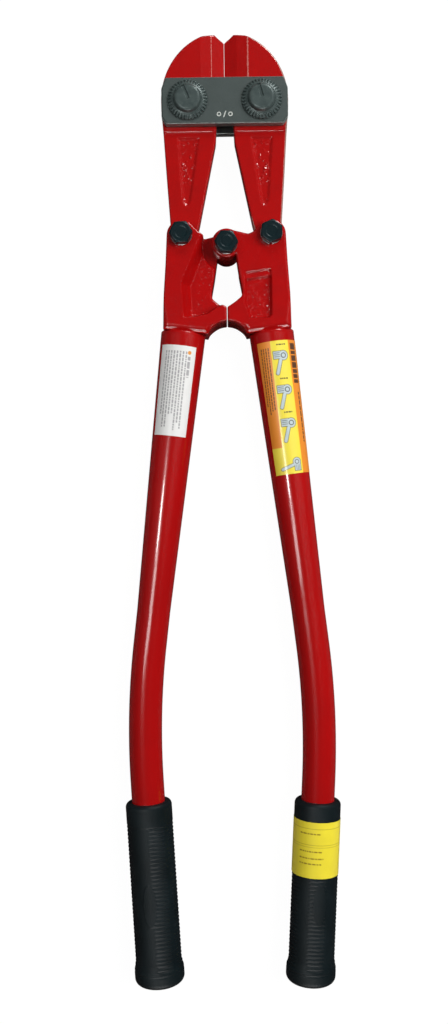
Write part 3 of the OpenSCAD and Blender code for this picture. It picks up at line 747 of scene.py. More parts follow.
def forging_halves(centre_hole):
    """The two reliefs of a handle end, merged: pocket side over lap side."""
    cheek = JAW_HALF + BORE_FIT

    def pocket_top(flat, edge):
        return skin_height(flat, edge, pocket_depth(flat))

    def pocket_low(flat, edge):
        lap = np.where(np.linalg.norm(flat, axis=1) < LAP_R, LAP_GAP, 0)
        return np.where(inside(flat, FORK_SLOT), cheek, lap)

    def lap_top(flat, edge):
        return np.where(inside(flat, FORK_SLOT), -cheek, 0)

    def lap_low(flat, edge):
        return -skin_height(flat, edge, recess_depth(flat))

    path = resample(FORK_SLOT, 0.6)
    slot_lines = [path + [s * 0.07, s * 0.07] for s in (-1, 1)]
    recess_lines = [resample(RECESS_RAMP, 0.6)]
    rings = (0.15, 0.5, 1.0, 1.5)
    pocket_side = relief([handle_end_outline(True), LINK_BORE, centre_hole], FORGING_STEP,
                         pocket_top, pocket_low, rings, slot_lines)
    lap_side = relief([handle_end_outline(False), LINK_BORE], FORGING_STEP,
                      lap_top, lap_low, rings, slot_lines + recess_lines)
    points, faces = merge([pocket_side[:2], lap_side[:2]])
    return points, faces, np.concatenate([pocket_side[2], lap_side[2]])


BOLT_SLIDE, SLIDE_R, SLIDE_TURN = 2.7, 4.95, 33
bolt_hole = circle((0, 0), BOLT_R + BORE_FIT, BORE_POINTS)
bolt_slot = slot_outline(BOLT_SLIDE, SLIDE_R, SLIDE_TURN)
for side, over, bore in (("right", False, bolt_hole), ("left", True, bolt_slot)):
    pts, faces, edge = forging_halves(bore)
    make_piece(side + "_end_forging", pts, faces, {"rim": edge}, sharp=38, turned=over)
print("handle end points", len(pts))

# %% [markdown]
# ## Tubes and grips
# A handle is a steel tube that tapers, runs straight, bends and runs straight again. A tube is
# a circle carried along that line. The grip is moulded rubber, so its radius changes along
# the line and round it: a smooth collar, fine ribs in columns, a raised oval and a flared end.

# %% Line of a handle
TUBE_R, TAPER_LEN = 10.6, 178.0
UPPER_LEN, LOWER_LEN = 200.5, 128.8
BEND_TURN, BEND_R = math.radians(9.9), 500.0
BEND_LEN = BEND_R * BEND_TURN
TUBE_LEN = UPPER_LEN + BEND_LEN + LOWER_LEN
GRIP_LEN, GRIP_R, FLARE_R, FLARE_LEN = 115.5, 14.8, 15.9, 15.0
GRIP_START = TUBE_LEN - GRIP_LEN
GRIP_CAP = 5.0


def handle_line(run):
    """Point and sideways direction at each distance down the right handle: straight, an arc
    whose heading turns evenly, and straight again."""
    turned = np.clip(run - UPPER_LEN, 0, BEND_LEN)
    heading = LEAN - turned / BEND_R
    start = np.minimum(run, UPPER_LEN)[:, None] * DOWN_TUBE + TUBE_TOP
    bend = BEND_R * np.stack([np.cos(heading) - math.cos(LEAN), np.sin(heading) - math.sin(LEAN)], -1)
    rest = np.clip(run - UPPER_LEN - BEND_LEN, 0, None)[:, None]
    end = rest * np.stack([np.sin(heading), -np.cos(heading)], -1)
    return start + bend + end, np.stack([np.cos(heading), np.sin(heading)], -1)


def tube_radius(run):
    """Outside radius of the tube: it falls evenly along the taper and then stays."""
    return TUBE_TOP_R - (TUBE_TOP_R - TUBE_R) * np.clip(run / TAPER_LEN, 0, 1)


def swept(run, radius, angle):
    """Points round the handle line. Angle 0 faces the front and a quarter turn the outside."""
    centre, across = handle_line(run)
    out, up = radius * np.sin(angle), radius * np.cos(angle)
    x = centre[:, :1] + out * across[:, :1]
    y = centre[:, 1:] + out * across[:, 1:]
    return np.stack([x, y, up], -1)


def round_piece(name, run, radius, count, rim, turned):
    """A closed piece swept along the handle line, with a pole at both ends."""
    angle = np.linspace(0, 2 * np.pi, count, endpoint=False)[None]
    points, faces = closed_grid(swept(run, radius(run[:, None], angle), angle))
    values = {"rim": with_poles(rim(run[:, None]) + 0 * angle)}
    make_piece(name, points, faces, values, sharp=40, turned=turned)


# %% Tubes
tube_end = TUBE_LEN - GRIP_CAP
tube_run = np.concatenate([[0.05, 0.2, 0.5, 1.0], np.arange(2.0, tube_end, 1.3), [tube_end]])


def tube_skin(run, angle):
    """Tube radius with a small rounded lip at the top."""
    return tube_radius(run) - 0.7 * np.clip(1 - run / 1.0, 0, 1) ** 2 + 0 * angle


for side, over in (("right", False), ("left", True)):
    round_piece(side + "_steel_tube", tube_run, tube_skin, 96, lambda run: run, over)

# %% Grips
COLLAR_LEN, RING_AT, RIB_PITCH, COLUMN_HALF = 13.0, 107.0, 2.5, 19
PANEL_AT, PANEL_HALF_LEN, PANEL_HALF_WIDTH = 62.5, 14.0, 4.6
LIP_RUN, LIP_DROP, SKIN_DROP = (0, 0.25, 0.7, 1.5, 2.4), (2.2, 1.3, 0.8, 0.3, 0.05), 0.05
FLARE_RUN = (GRIP_LEN - FLARE_LEN, GRIP_LEN - FLARE_LEN * 0.6, GRIP_LEN)
BODY_RUN = [*LIP_RUN, *FLARE_RUN]
BODY_R = [GRIP_R - drop for drop in (*LIP_DROP, SKIN_DROP)] + [FLARE_R - SKIN_DROP] * 2
END_ROUND = 4.0
grip_run = GRIP_START + np.concatenate([
    np.linspace(0, 3, 14), np.arange(3.3, GRIP_LEN - 4.2, 0.31),
    GRIP_LEN - END_ROUND + END_ROUND * np.sin(np.linspace(0, np.pi / 2, 16)),
])


def column_mask(angle, middles, half):
    """One where ribs stand: within half a column's width of one of the column middles."""
    off = [np.abs(angle_from(angle, m)) for m in middles]
    return 1 - smoothstep(math.radians(half), math.radians(half + 4), np.min(off, axis=0))


def angle_from(angle, middle_angle):
    """Signed angle from a middle given in degrees, between minus and plus half a turn."""
    return (angle - math.radians(middle_angle) + np.pi) % (2 * np.pi) - np.pi


def grip_skin(panel_turn, columns):
    """Radius of a grip: collar, ribs in columns, a raised oval, a ring line and a round flare."""
    def radius(run, angle):
        s = run - GRIP_START
        body = np.interp(s, BODY_RUN, BODY_R)
        in_ribs = smoothstep(COLLAR_LEN, COLLAR_LEN + 1, s)
        in_ribs = in_ribs * (1 - smoothstep(RING_AT - 2.5, RING_AT - 1.5, s))
        off = angle_from(angle, panel_turn)
        oval = np.sqrt(((s - PANEL_AT) / PANEL_HALF_LEN) ** 2 + (off * GRIP_R / PANEL_HALF_WIDTH) ** 2)
        on_panel = 1 - smoothstep(0.92, 1.0, oval)
        lip = smoothstep(0.86, 0.93, oval) * (1 - smoothstep(1.0, 1.1, oval))
        wave = 0.5 + 0.5 * np.cos(2 * np.pi * s / RIB_PITCH)
        ribs = column_mask(angle, columns, COLUMN_HALF) * in_ribs * (1 - on_panel)
        ring = np.exp(-(((s - RING_AT) / 0.45) ** 2))
        below = 0.3 * in_ribs * (1 - on_panel)
        out = body - below * (1 - ribs) - 0.55 * ribs * (1 - wave**0.7)
        out = out - 0.12 * on_panel + 0.12 * lip * on_panel - 0.4 * ring
        tail = np.clip(s - (GRIP_LEN - END_ROUND), 0, END_ROUND)
        return out - (END_ROUND - np.sqrt(np.clip(END_ROUND**2 - tail**2, 0, END_ROUND**2)))
    return radius


def grip_rim(run):
    """Distance from the nearer end of the grip."""
    return np.minimum(run - GRIP_START, GRIP_START + GRIP_LEN - run)


RIGHT_COLUMNS, LEFT_COLUMNS = (5, -70, 86, 160, -142), (202, 256, 310, 40, 100)
for side, over, turn, columns in (
    ("right", False, 10, RIGHT_COLUMNS), ("left", True, 172, LEFT_COLUMNS),
):
    round_piece(side + "_rubber_grip", grip_run, grip_skin(turn, columns), 176, grip_rim, over)
print("grip points", len(PIECES["right_rubber_grip"].data.vertices))

# %% [markdown]
# ## Printed labels
# Each tube has a printed film near its top and the right grip has a band round it. They are
# thin shells that follow the surface. The print is generic: bars that stand for lines of text,
# plain shapes and a simple drawing of a hand tool. Each point keeps how far it is from each
# ink's edge, and the material turns that distance into a crisp print.

# %% Labels
LABEL_START, LABEL_LIFT, LABEL_T = 7.5, 0.04, 0.1
LEFT_LABEL, LEFT_DROP, RIGHT_LABEL = 58.0, 2.0, 84.0
BAND_START, BAND_LEN = 11.0, 35.0
LEFT_EDGES, RIGHT_EDGES = (-43, 58), (-48, 118)


def box_distance(x, y, x0, x1, y0, y1):
    """Distance outside a rectangle, less than zero within it."""
    return np.maximum(np.maximum(x0 - x, x - x1), np.maximum(y0 - y, y - y1))


def bars(x, y, rows, left, right, pitch, half, seed):
    """Lines of dashes that stand for text: every row has its own ragged end and its own gaps."""
    pick = np.random.default_rng(seed)
    best = np.full(x.shape, 9.0)
    for row in rows:
        at = left
        end = right - pick.uniform(0, 0.3) * (right - left)
        while at < end:
            width = pick.uniform(0.8, 2.6) * pitch
            dash = box_distance(x, y, at, min(at + width, end), row - half, row + half)
            best = np.minimum(best, dash)
            at += width + 0.45 * pitch
    return best


def film(name, start, length, radius, sides, step, inks, mirrored=False, closed=False):
    """Thin printed shell between two angles in degrees: an outer and an inner grid, and a rim.
    Each ink is a function of the place across and down the film, in millimetres."""
    low, high = sides
    rows = int(length / step) + 1
    run = start + np.linspace(0, length, rows)
    cols = int(math.radians(high - low) * float(radius(run).mean()) / step) + 1
    angle = np.radians(np.linspace(low, high, cols, endpoint=not closed))[None]
    r = radius(run)[:, None]
    outer, inner = swept(run, r + LABEL_T, angle), swept(run, r, angle)
    points = np.concatenate([outer.reshape(-1, 3), inner.reshape(-1, 3)])
    size = rows * cols
    i, j = np.meshgrid(np.arange(rows - 1), np.arange(cols if closed else cols - 1), indexing="ij")
    a, b = i * cols + j, i * cols + (j + 1) % cols
    sheet = np.stack([a, b, b + cols, a + cols], -1).reshape(-1, 4)
    if closed:
        j = np.arange(cols)
        nxt, last = (j + 1) % cols, (rows - 1) * cols
        ends = [np.stack([j, j + size, nxt + size, nxt], -1),
                np.stack([last + nxt, last + nxt + size, last + j + size, last + j], -1)]
    else:
        grid = np.arange(size).reshape(rows, cols)
        rim = np.concatenate([grid[0, :-1], grid[:-1, -1], grid[-1, :0:-1], grid[:0:-1, 0]])
        nxt = np.roll(rim, -1)
        ends = [np.stack([rim, rim + size, nxt + size, nxt], -1)]
    faces = [sheet, sheet[:, ::-1] + size, *ends]
    across = r * (angle - angle.mean())
    down = np.repeat((run - start)[:, None], cols, 1)
    values = {key: np.tile(ink(across, down).ravel(), 2) for key, ink in inks.items()}
    make_piece(name, points, faces, values, sharp=50, mirrored=mirrored)


def capsule(x, y, start, end, radius):
    """Distance outside a straight bar with round ends."""
    ax, ay = start
    dx, dy = end[0] - ax, end[1] - ay
    t = np.clip(((x - ax) * dx + (y - ay) * dy) / (dx * dx + dy * dy), 0, 1)
    return np.hypot(x - ax - t * dx, y - ay - t * dy) - radius


def left_text(x, y):
    """A heading bar and lines of small bars, all read along the tube."""
    head = bars(y, x, [-7.9], 6.5, 20, 1.9, 0.9, 3)
    lines = [-5.9, -4.0, -2.1, -0.2, 1.7, 3.6, 5.5, 7.4]
    return np.minimum(head, bars(y, x, lines, 3.5, 54, 1.0, 0.5, 11))


def left_mark(x, y):
    """A small round colour mark before the heading."""
    return np.hypot(x + 7.9, y - 4.0) - 1.2


def tool_sketch(x, y, size):
    """Outline distance of a drawn cutter head: a ringed disc, a square block and one handle."""
    x, y = x / size, y / size
    disc = np.hypot(x - 0.55, y + 1.2) - 1.05
    block = box_distance(x, y, -1.7, 0.0, -2.2, -0.5)
    handle = capsule(x, y, (-0.2, -0.2), (-1.1, 2.6), 0.4)
    return np.minimum(np.minimum(disc, block), handle) * size


def sketch_ring(x, y, size):
    """The ring drawn inside that disc, and the hatching of its block."""
    x, y = x / size, y / size
    ring = np.abs(np.hypot(x - 0.55, y + 1.2) - 0.5) - 0.1
    stripes = np.abs((y % 0.4) - 0.2) - 0.07
    hatch = np.maximum(box_distance(x, y, -1.5, -0.2, -2.0, -0.7), stripes)
    return np.minimum(ring, hatch) * size


def sketches(drawing, x, y):
    """A drawing repeated three times down the label's middle and once more across its foot."""
    down = [drawing(x + 5.2, y - at, 2.9) for at in (13.0, 34.5, 55.5)]
    return np.minimum(np.min(down, axis=0), drawing(2.0 - (y - 76.0), -(x + 6.0), 2.5))


def right_sketches(x, y):
    """Three hand tools down the middle of the right label and one that lies across its foot."""
    return sketches(tool_sketch, x, y)


def right_ink(x, y):
    """Dark print of the right label: sketch outlines, a bold sign and lines along the strips."""
    outlines = np.abs(right_sketches(x, y)) - 0.2
    sign = bars(y, x, [4.7], 2.0, 30, 1.6, 2.5, 8)
    line = bars(y, x, [5.6], 33, 76, 1.3, 0.7, 9)
    notes = bars(y, x, [-17.6, -16.0, -14.4, -12.8], 4, 52, 0.9, 0.35, 21)
    small = bars(x, y, [2.6, 24.0, 45.2], -7.5, -1.0, 0.8, 0.45, 2)
    return np.min([outlines, sketches(sketch_ring, x, y), sign, line, notes, small], axis=0)


def right_field(x, y):
    """Orange areas of the right label: a strip along each side."""
    inner = box_distance(x, y, -40, -11.2, -5, 67)
    outer = box_distance(x, y, 0.8, 40, -5, 90)
    return np.minimum(inner, outer)


def band_ink(x, y):
    """Thin rules round the band and short bars that stand for a printed scale."""
    rules = np.min([np.abs(y - v) for v in (4.0, 14.2, 15.6, 36.0)], axis=0) - 0.16
    notes = bars(x, y, [7.2, 18.3, 22.6, 26.0], -12, 4, 1.0, 0.42, 33)
    return np.minimum(rules, notes)


def lifted(run):
    """Radius just clear of the painted tube."""
    return tube_radius(run) + LABEL_LIFT


def over_grip(run):
    """Radius just clear of the grip."""
    return 0 * run + GRIP_R + 0.06


film("left_white_film", LABEL_START + LEFT_DROP, LEFT_LABEL - LEFT_DROP / 2, lifted, LEFT_EDGES, 0.3,
     {"ink": left_text, "mark": left_mark}, mirrored=True)
film("right_yellow_film", LABEL_START, RIGHT_LABEL, lifted, RIGHT_EDGES, 0.34,
     {"ink": right_ink, "mark": right_field, "sketch": right_sketches})
film("grip_yellow_band", GRIP_START + BAND_START, BAND_LEN, over_grip, (-180, 180), 0.45,
     {"ink": band_ink}, closed=True)
films = [name for name in PIECES if name.endswith(("film", "band"))]
print("films", [len(PIECES[name].data.vertices) for name in films])

# %% [markdown]
# ## Shared effects
# Wear, grain, dust and ink turn up on several finishes; the wear line also draws a painted
# highlight along the jaw ridges. Each is a node group, made once, that reads Object coordinates
# or a value kept on the piece and gives back a mask or a height.

# %% Node helpers
PER_METRE = 1000.0
RAGGED_GAIN, WEAR_SOFT = 4.0, 0.2


def rgb(red, green, blue):
    """Linear colour from screen values out of 255: the inverse of the display curve."""
    c = np.array([red, green, blue]) / 255
    return (*np.where(c <= 0.04045, c / 12.92, ((c + 0.055) / 1.055) ** 2.4), 1.0)


def node(tree, kind, links=None, **settings):
    """Node with its settings; links maps an input's name or number to a socket or a value."""
    made = tree.nodes.new(kind)
    for key, value in settings.items():
        setattr(made, key, value)
    for key, value in (links or {}).items():
        if isinstance(value, bpy.types.NodeSocket):
            tree.links.new(value, made.inputs[key])
        else:
            made.inputs[key].default_value = value
    return made


def maths(tree, operation, a, b):
    """Result of one sum on two sockets or values."""
    return node(tree, "ShaderNodeMath", {0: a, 1: b}, operation=operation).outputs[0]


def own_place(tree):
    """Coordinates that are fixed to the piece."""
    return node(tree, "ShaderNodeTexCoord").outputs["Object"]


def noise(tree, place, scale, detail):
    """Soft noise from 0 to 1; scale is in waves per metre."""
    links = {"Vector": place, "Scale": scale, "Detail": detail}
    return node(tree, "ShaderNodeTexNoise", links).outputs["Fac"]


def ranged(tree, value, low, high):
    """Value spread from 0 to 1 between two limits, and kept there beyond them."""
    links = {"Value": value, "From Min": low, "From Max": high}
    return node(tree, "ShaderNodeMapRange", links).outputs[0]


def new_group(name, inputs, output):
    """Empty node group with number inputs and one output. Returns it, its inputs and its end."""
    tree = bpy.data.node_groups.new(name, "ShaderNodeTree")
    for key, value in inputs.items():
        socket = tree.interface.new_socket(key, in_out="INPUT", socket_type="NodeSocketFloat")
        socket.default_value = value
    tree.interface.new_socket(output, in_out="OUTPUT", socket_type="NodeSocketFloat")
    given = tree.nodes.new("NodeGroupInput").outputs
    return tree, given, tree.nodes.new("NodeGroupOutput").inputs[output]


def grain_group():
    """Fine unevenness: noise of the given size in millimetres, as a height from 0 to 1."""
    inputs = {"Per mm": 1.0, "Detail": 3.0, "Stretch": 1.0}
    tree, given, out = new_group("surface_grain", inputs, "Height")
    stretch = node(tree, "ShaderNodeCombineXYZ", {"X": 1.0, "Y": given["Stretch"], "Z": 1.0})
    place = {0: own_place(tree), 1: stretch.outputs[0]}
    scaled = node(tree, "ShaderNodeVectorMath", place, operation="MULTIPLY").outputs[0]
    per_metre = maths(tree, "MULTIPLY", given["Per mm"], PER_METRE)
    tree.links.new(noise(tree, scaled, per_metre, given["Detail"]), out)
    return tree


def edge_wear_and_highlight_group():
    """Bare edges, and the painted highlight line on the jaw ridges: one where the kept distance is under a
    width that noise makes ragged.
    """
    inputs = {"Distance": 1.0, "Width": 0.3, "Ragged": 0.3}
    tree, given, out = new_group("edge_wear_and_highlight", inputs, "Mask")
    off = maths(tree, "SUBTRACT", noise(tree, own_place(tree), 900.0, 4.0), 0.5)
    ragged = maths(tree, "MULTIPLY", maths(tree, "MULTIPLY", off, given["Ragged"]), RAGGED_GAIN)
    reach = maths(tree, "ADD", given["Width"], ragged)
    left = maths(tree, "SUBTRACT", reach, given["Distance"])
    tree.links.new(ranged(tree, left, 0.0, WEAR_SOFT), out)
    return tree


def dust_group():
    """Handling marks: broad soft patches, from clean to dull."""
    tree, given, out = new_group("dust_patches", {"Per mm": 0.05, "Amount": 0.5}, "Mask")
    per_metre = maths(tree, "MULTIPLY", given["Per mm"], PER_METRE)
    soft = ranged(tree, noise(tree, own_place(tree), per_metre, 5.0), 0.35, 0.7)
    tree.links.new(maths(tree, "MULTIPLY", soft, given["Amount"]), out)
    return tree


def ink_group():
    """Print with a crisp edge: one where the kept distance is below zero."""
    tree, given, out = new_group("ink_edge", {"Distance": 1.0, "Soft mm": 0.08}, "Mask")
    less = maths(tree, "DIVIDE", given["Distance"], given["Soft mm"])
    tree.links.new(ranged(tree, less, 1.0, -1.0), out)
    return tree


GRAIN, EDGE_WEAR_AND_HIGHLIGHT, DUST, INK = grain_group(), edge_wear_and_highlight_group(), dust_group(), ink_group()


class Finish:
    """A material that is built up from a base colour: colours are mixed over it by masks."""

    def __init__(self, name, colour, roughness, metallic=0.0, **sockets):
        self.material = bpy.data.materials.new(name)
        self.material.use_nodes = True
        self.tree = self.material.node_tree
        self.shader = self.tree.nodes["Principled BSDF"]
        self.colour, self.roughness, self.metallic = colour, roughness, metallic
        for key, value in sockets.items():
            self.shader.inputs[key.replace("_", " ")].default_value = value

    def group(self, effect, *values):
        """Mask or height of a shared effect, with its inputs in order."""
        links = dict(enumerate(values))
        return node(self.tree, "ShaderNodeGroup", links, node_tree=effect).outputs[0]

    def kept(self, key):
        """Value that the piece keeps at each point under this name."""
        return node(self.tree, "ShaderNodeAttribute", attribute_name=key).outputs["Fac"]

    def over(self, mask, share, colour, roughness=None, metallic=None):
        """Lays a share of a colour over what is there, by a mask, with its own gloss and metal."""
        mask = maths(self.tree, "MULTIPLY", mask, share)
        links = {"Factor": mask, 6: self.colour, 7: colour}
        self.colour = node(self.tree, "ShaderNodeMix", links, data_type="RGBA").outputs[2]
        for key, value in (("roughness", roughness), ("metallic", metallic)):
            if value is not None:
                links = {"Factor": mask, 2: getattr(self, key), 3: value}
                setattr(self, key, node(self.tree, "ShaderNodeMix", links).outputs[0])

    def dust(self, per_mm, amount, colour, roughness):
        """Broad dull patches."""
        self.over(self.group(DUST, per_mm, amount), 1.0, colour, roughness)

    def streaks(self, per_mm, detail, stretch, share, colour):
        """Fine grain that shows as a colour."""
        self.over(self.group(GRAIN, per_mm, detail, stretch), share, colour)

    def wear_and_highlight(self, key, width, ragged, share, colour, roughness, metallic):
        """Finish worn off beside the edges whose distance the piece keeps; along the jaw ridges this is
        also a painted highlight.
        """
        mask = self.group(EDGE_WEAR_AND_HIGHLIGHT, self.kept(key), width, ragged)
        self.over(mask, share, colour, roughness, metallic)

    def ink(self, key, soft_mm, share, colour):
        """Flat print inside the shapes whose distance the film keeps."""
        self.over(self.group(INK, self.kept(key), soft_mm), share, colour)

    def grain(self, per_mm, detail, strength, distance_mm, stretch=1.0):
        """Adds a fine relief under the ones already there."""
        height = self.group(GRAIN, per_mm, detail, stretch)
        links = {"Height": height, "Strength": strength, "Distance": distance_mm * MM}
        last = self.shader.inputs["Normal"].links
        if last:
            links["Normal"] = last[0].from_socket
        made = node(self.tree, "ShaderNodeBump", links)
        self.tree.links.new(made.outputs[0], self.shader.inputs["Normal"])

    def done(self):
        """Joins the built-up colour, gloss and metal to the shader."""
        last = {"Base Color": self.colour, "Roughness": self.roughness, "Metallic": self.metallic}
        for key, value in last.items():
            if isinstance(value, bpy.types.NodeSocket):
                self.tree.links.new(value, self.shader.inputs[key])
            else:
                self.shader.inputs[key].default_value = value
        return self.material


print("groups", [g.name for g in bpy.data.node_groups])

# %% [markdown]
# ## Red enamel
# Jaws, handle ends and tubes are sprayed with the same gloss red, but it lies differently on
# each: thin on the ground blades and worn at their edges, with a pale line along one bevel ridge
# of each jaw that is worn paint and a painted highlight, over rough cast skin on the handle ends,
# and smooth with a slight orange peel on the tubes.

# %% Red enamel finishes
RED = rgb(170, 10, 11)
DEEP_RED = rgb(152, 10, 12)


def jaw_enamel():
    f = Finish("jaw_red_enamel", RED, 0.2, Coat_Weight=0.2, Coat_Roughness=0.06)
    f.dust(per_mm=0.12, amount=0.5, colour=DEEP_RED, roughness=0.24)
    f.streaks(per_mm=2.2, detail=4.0, stretch=0.2, share=0.35, colour=rgb(150, 26, 22))
    f.wear_and_highlight("rim", 0.05, 0.22, 0.8, rgb(176, 142, 132), roughness=0.34, metallic=0.35)
    # Pale pink line along one bevel ridge: worn paint and a painted highlight.
    f.wear_and_highlight("ridge", 0.3, 0.2, 0.7, rgb(220, 140, 132), roughness=0.3, metallic=0.3)
    f.grain(per_mm=0.6, detail=3.0, strength=0.2, distance_mm=0.2)
    return f.done()


def forging_enamel():
    f = Finish("forging_red_enamel", RED, 0.2, Coat_Weight=0.3, Coat_Roughness=0.06)
    f.dust(per_mm=0.1, amount=0.55, colour=DEEP_RED, roughness=0.25)
    f.wear_and_highlight("rim", 0.0, 0.25, 0.6, rgb(210, 116, 108), roughness=0.32, metallic=0.2)
    f.grain(per_mm=0.6, detail=3.0, strength=0.3, distance_mm=0.25)
    f.grain(per_mm=0.15, detail=2.0, strength=0.25, distance_mm=0.6)
    return f.done()


def tube_enamel():
    f = Finish("tube_red_enamel", RED, 0.2, Coat_Weight=0.5, Coat_Roughness=0.06)
    f.dust(per_mm=0.03, amount=0.4, colour=DEEP_RED, roughness=0.24)
    f.grain(per_mm=0.3, detail=2.0, strength=0.06, distance_mm=0.2, stretch=0.5)
    return f.done()


# %% [markdown]
# ## Darkened steel and zinc
# The plates are phosphated: a dull grey-green with paler broken edges. Bolts and nuts are
# black oxide, smoother and bluer, and the washers have thin bright zinc.

# %% Steel finishes
def plate_phosphate():
    f = Finish("plate_grey_phosphate", rgb(57, 67, 65), 0.5, 0.2)
    f.dust(per_mm=0.15, amount=0.6, colour=rgb(62, 72, 71), roughness=0.56)
    f.streaks(per_mm=3.0, detail=3.0, stretch=0.3, share=0.4, colour=rgb(104, 112, 110))
    f.wear_and_highlight("rim", 0.35, 0.2, 0.55, rgb(168, 176, 172), roughness=0.36, metallic=0.7)
    f.wear_and_highlight("stamp", 0.42, 0.05, 1.0, rgb(196, 200, 194), roughness=0.5, metallic=0.2)
    f.grain(per_mm=1.4, detail=3.0, strength=0.25, distance_mm=0.2)
    return f.done()


def black_oxide(name, colour, dark):
    f = Finish(name, colour, 0.36, 0.3)
    f.dust(per_mm=0.3, amount=0.6, colour=dark, roughness=0.44)
    f.wear_and_highlight("rim", 0.25, 0.35, 0.28, rgb(128, 144, 142), roughness=0.34, metallic=0.8)
    f.grain(per_mm=1.2, detail=3.0, strength=0.3, distance_mm=0.25)
    return f.done()


def bright_zinc():
    f = Finish("washer_bright_zinc", rgb(186, 188, 190), 0.32, 0.9)
    f.dust(per_mm=0.3, amount=0.5, colour=rgb(150, 150, 146), roughness=0.42)
    f.grain(per_mm=2.5, detail=2.0, strength=0.15, distance_mm=0.15)
    return f.done()


# %% [markdown]
# ## Rubber and printed film
# The grips are black rubber with a faint blue-green cast and a fine moulded grain. The films
# are printed with flat inks under a clear gloss.

# %% Rubber and film finishes
FILM_GLOSS = {"Coat_Weight": 0.3, "Coat_Roughness": 0.15}
FINE_SOFT, SOFT = 0.12, 0.14


def black_rubber():
    f = Finish("grip_black_rubber", rgb(8, 19, 22), 0.5, 0.0, Specular_IOR_Level=0.4)
    f.dust(per_mm=0.06, amount=0.45, colour=rgb(20, 33, 37), roughness=0.6)
    f.grain(per_mm=2.6, detail=3.0, strength=0.25, distance_mm=0.2)
    return f.done()


def white_film():
    f = Finish("white_printed_film", rgb(232, 232, 230), 0.32, **FILM_GLOSS)
    f.dust(per_mm=0.1, amount=0.25, colour=rgb(214, 212, 208), roughness=0.4)
    f.ink("ink", FINE_SOFT, 0.62, rgb(96, 92, 100))
    f.ink("mark", FINE_SOFT, 1.0, rgb(226, 150, 60))
    return f.done()


def yellow_film():
    f = Finish("yellow_printed_film", rgb(240, 222, 74), 0.32, **FILM_GLOSS)
    f.dust(per_mm=0.1, amount=0.25, colour=rgb(232, 206, 70), roughness=0.4)
    f.ink("mark", FINE_SOFT, 1.0, rgb(232, 140, 44))
    f.ink("sketch", SOFT, 1.0, rgb(190, 204, 206))
    f.ink("ink", SOFT, 0.9, rgb(52, 44, 44))
    return f.done()


def band_film():
    f = Finish("yellow_band_film", rgb(244, 226, 60), 0.3, **FILM_GLOSS)
    f.dust(per_mm=0.1, amount=0.25, colour=rgb(222, 200, 56), roughness=0.38)
    f.ink("ink", SOFT, 0.8, rgb(120, 84, 30))
    return f.done()


# %% [markdown]
# ## What rides on what
# Each piece stands for one CAD node, moves with that node's body, and takes the finish of the
# material slot listed for it, except the eccentric jaw bolts, which take a paler worn oxide. One
# list holds it all, so that no piece is forgotten.

# %% Pieces, bodies, slots and finishes
FINISHES = {
    "jaw_red": jaw_enamel(), "forging_red": forging_enamel(), "tube_red": tube_enamel(),
    "side_plate_grey": plate_phosphate(), "zinc_steel": bright_zinc(),
    "black_oxide_steel": black_oxide("bolt_black_oxide", rgb(16, 36, 40), rgb(10, 27, 32)),
    "grip_rubber": black_rubber(), "white_label": white_film(), "yellow_label": yellow_film(),
    "yellow_band": band_film(),
}
WORN_OXIDE = black_oxide("eccentric_worn_oxide", rgb(80, 92, 90), rgb(48, 60, 60))
ROLES = [
    ("front_side_plate", "front_plate", "side_plate_grey"),
    ("rear_side_plate", "rear_plate", "side_plate_grey"),
    ("left_white_film", "left_tube_label", "white_label"),
    ("right_yellow_film", "right_tube_label", "yellow_label"),
    ("grip_yellow_band", "grip_band", "yellow_band"),
]
for side in ("left", "right"):
    ROLES += [
        (side + "_jaw_forging", side + "_jaw", "jaw_red"),
        (side + "_end_forging", side + "_handle_end", "forging_red"),
        (side + "_steel_tube", side + "_tube", "tube_red"),
        (side + "_rubber_grip", side + "_grip", "grip_rubber"),
        (side + "_eccentric_bolt", side + "_jaw_bolt", "black_oxide_steel"),
        (side + "_eccentric_washer", side + "_jaw_washer", "zinc_steel"),
        (side + "_eccentric_nut", side + "_jaw_nut", "black_oxide_steel"),
    ]
for key, short in (("left_link", "left"), ("right_link", "right"), ("centre", "centre")):
    ROLES += [
        (key + "_hex_bolt", key + "_bolt", "black_oxide_steel"),
        (key + "_front_ring", key + "_washer", "zinc_steel"),
        (key + "_rear_ring", short + "_rear_washer", "zinc_steel"),
        (key + "_hex_nut", key + "_nut", "black_oxide_steel"),
    ]
for name, cad_node, slot in ROLES:
    piece = PIECES[name]
    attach(piece, frame["nodes"][cad_node]["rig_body"])
    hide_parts(cad_node)
    piece.data.materials.append(WORN_OXIDE if name.endswith("eccentric_bolt") else FINISHES[slot])
left_over = sorted(set(PIECES) - {name for name, _, _ in ROLES})
print("pieces", len(ROLES), "without a role", left_over)

# %% [markdown]
# ## Table, light and camera
# The tool is looked at from straight above, from a little over an arm's length, with white
# paper below it. Four lamps are only mirrored in it: two beside the camera draw the thin streak
# down each tube, one beyond the head catches the bevels, and a low one at the handles' end picks
# out the lower edges. Three soft ones light the broad faces and aren't mirrored.

# %% Table and light
FLOOR_SIZE, GLOW, GLOW_SHARE = 6.0, 1.05, 0.93


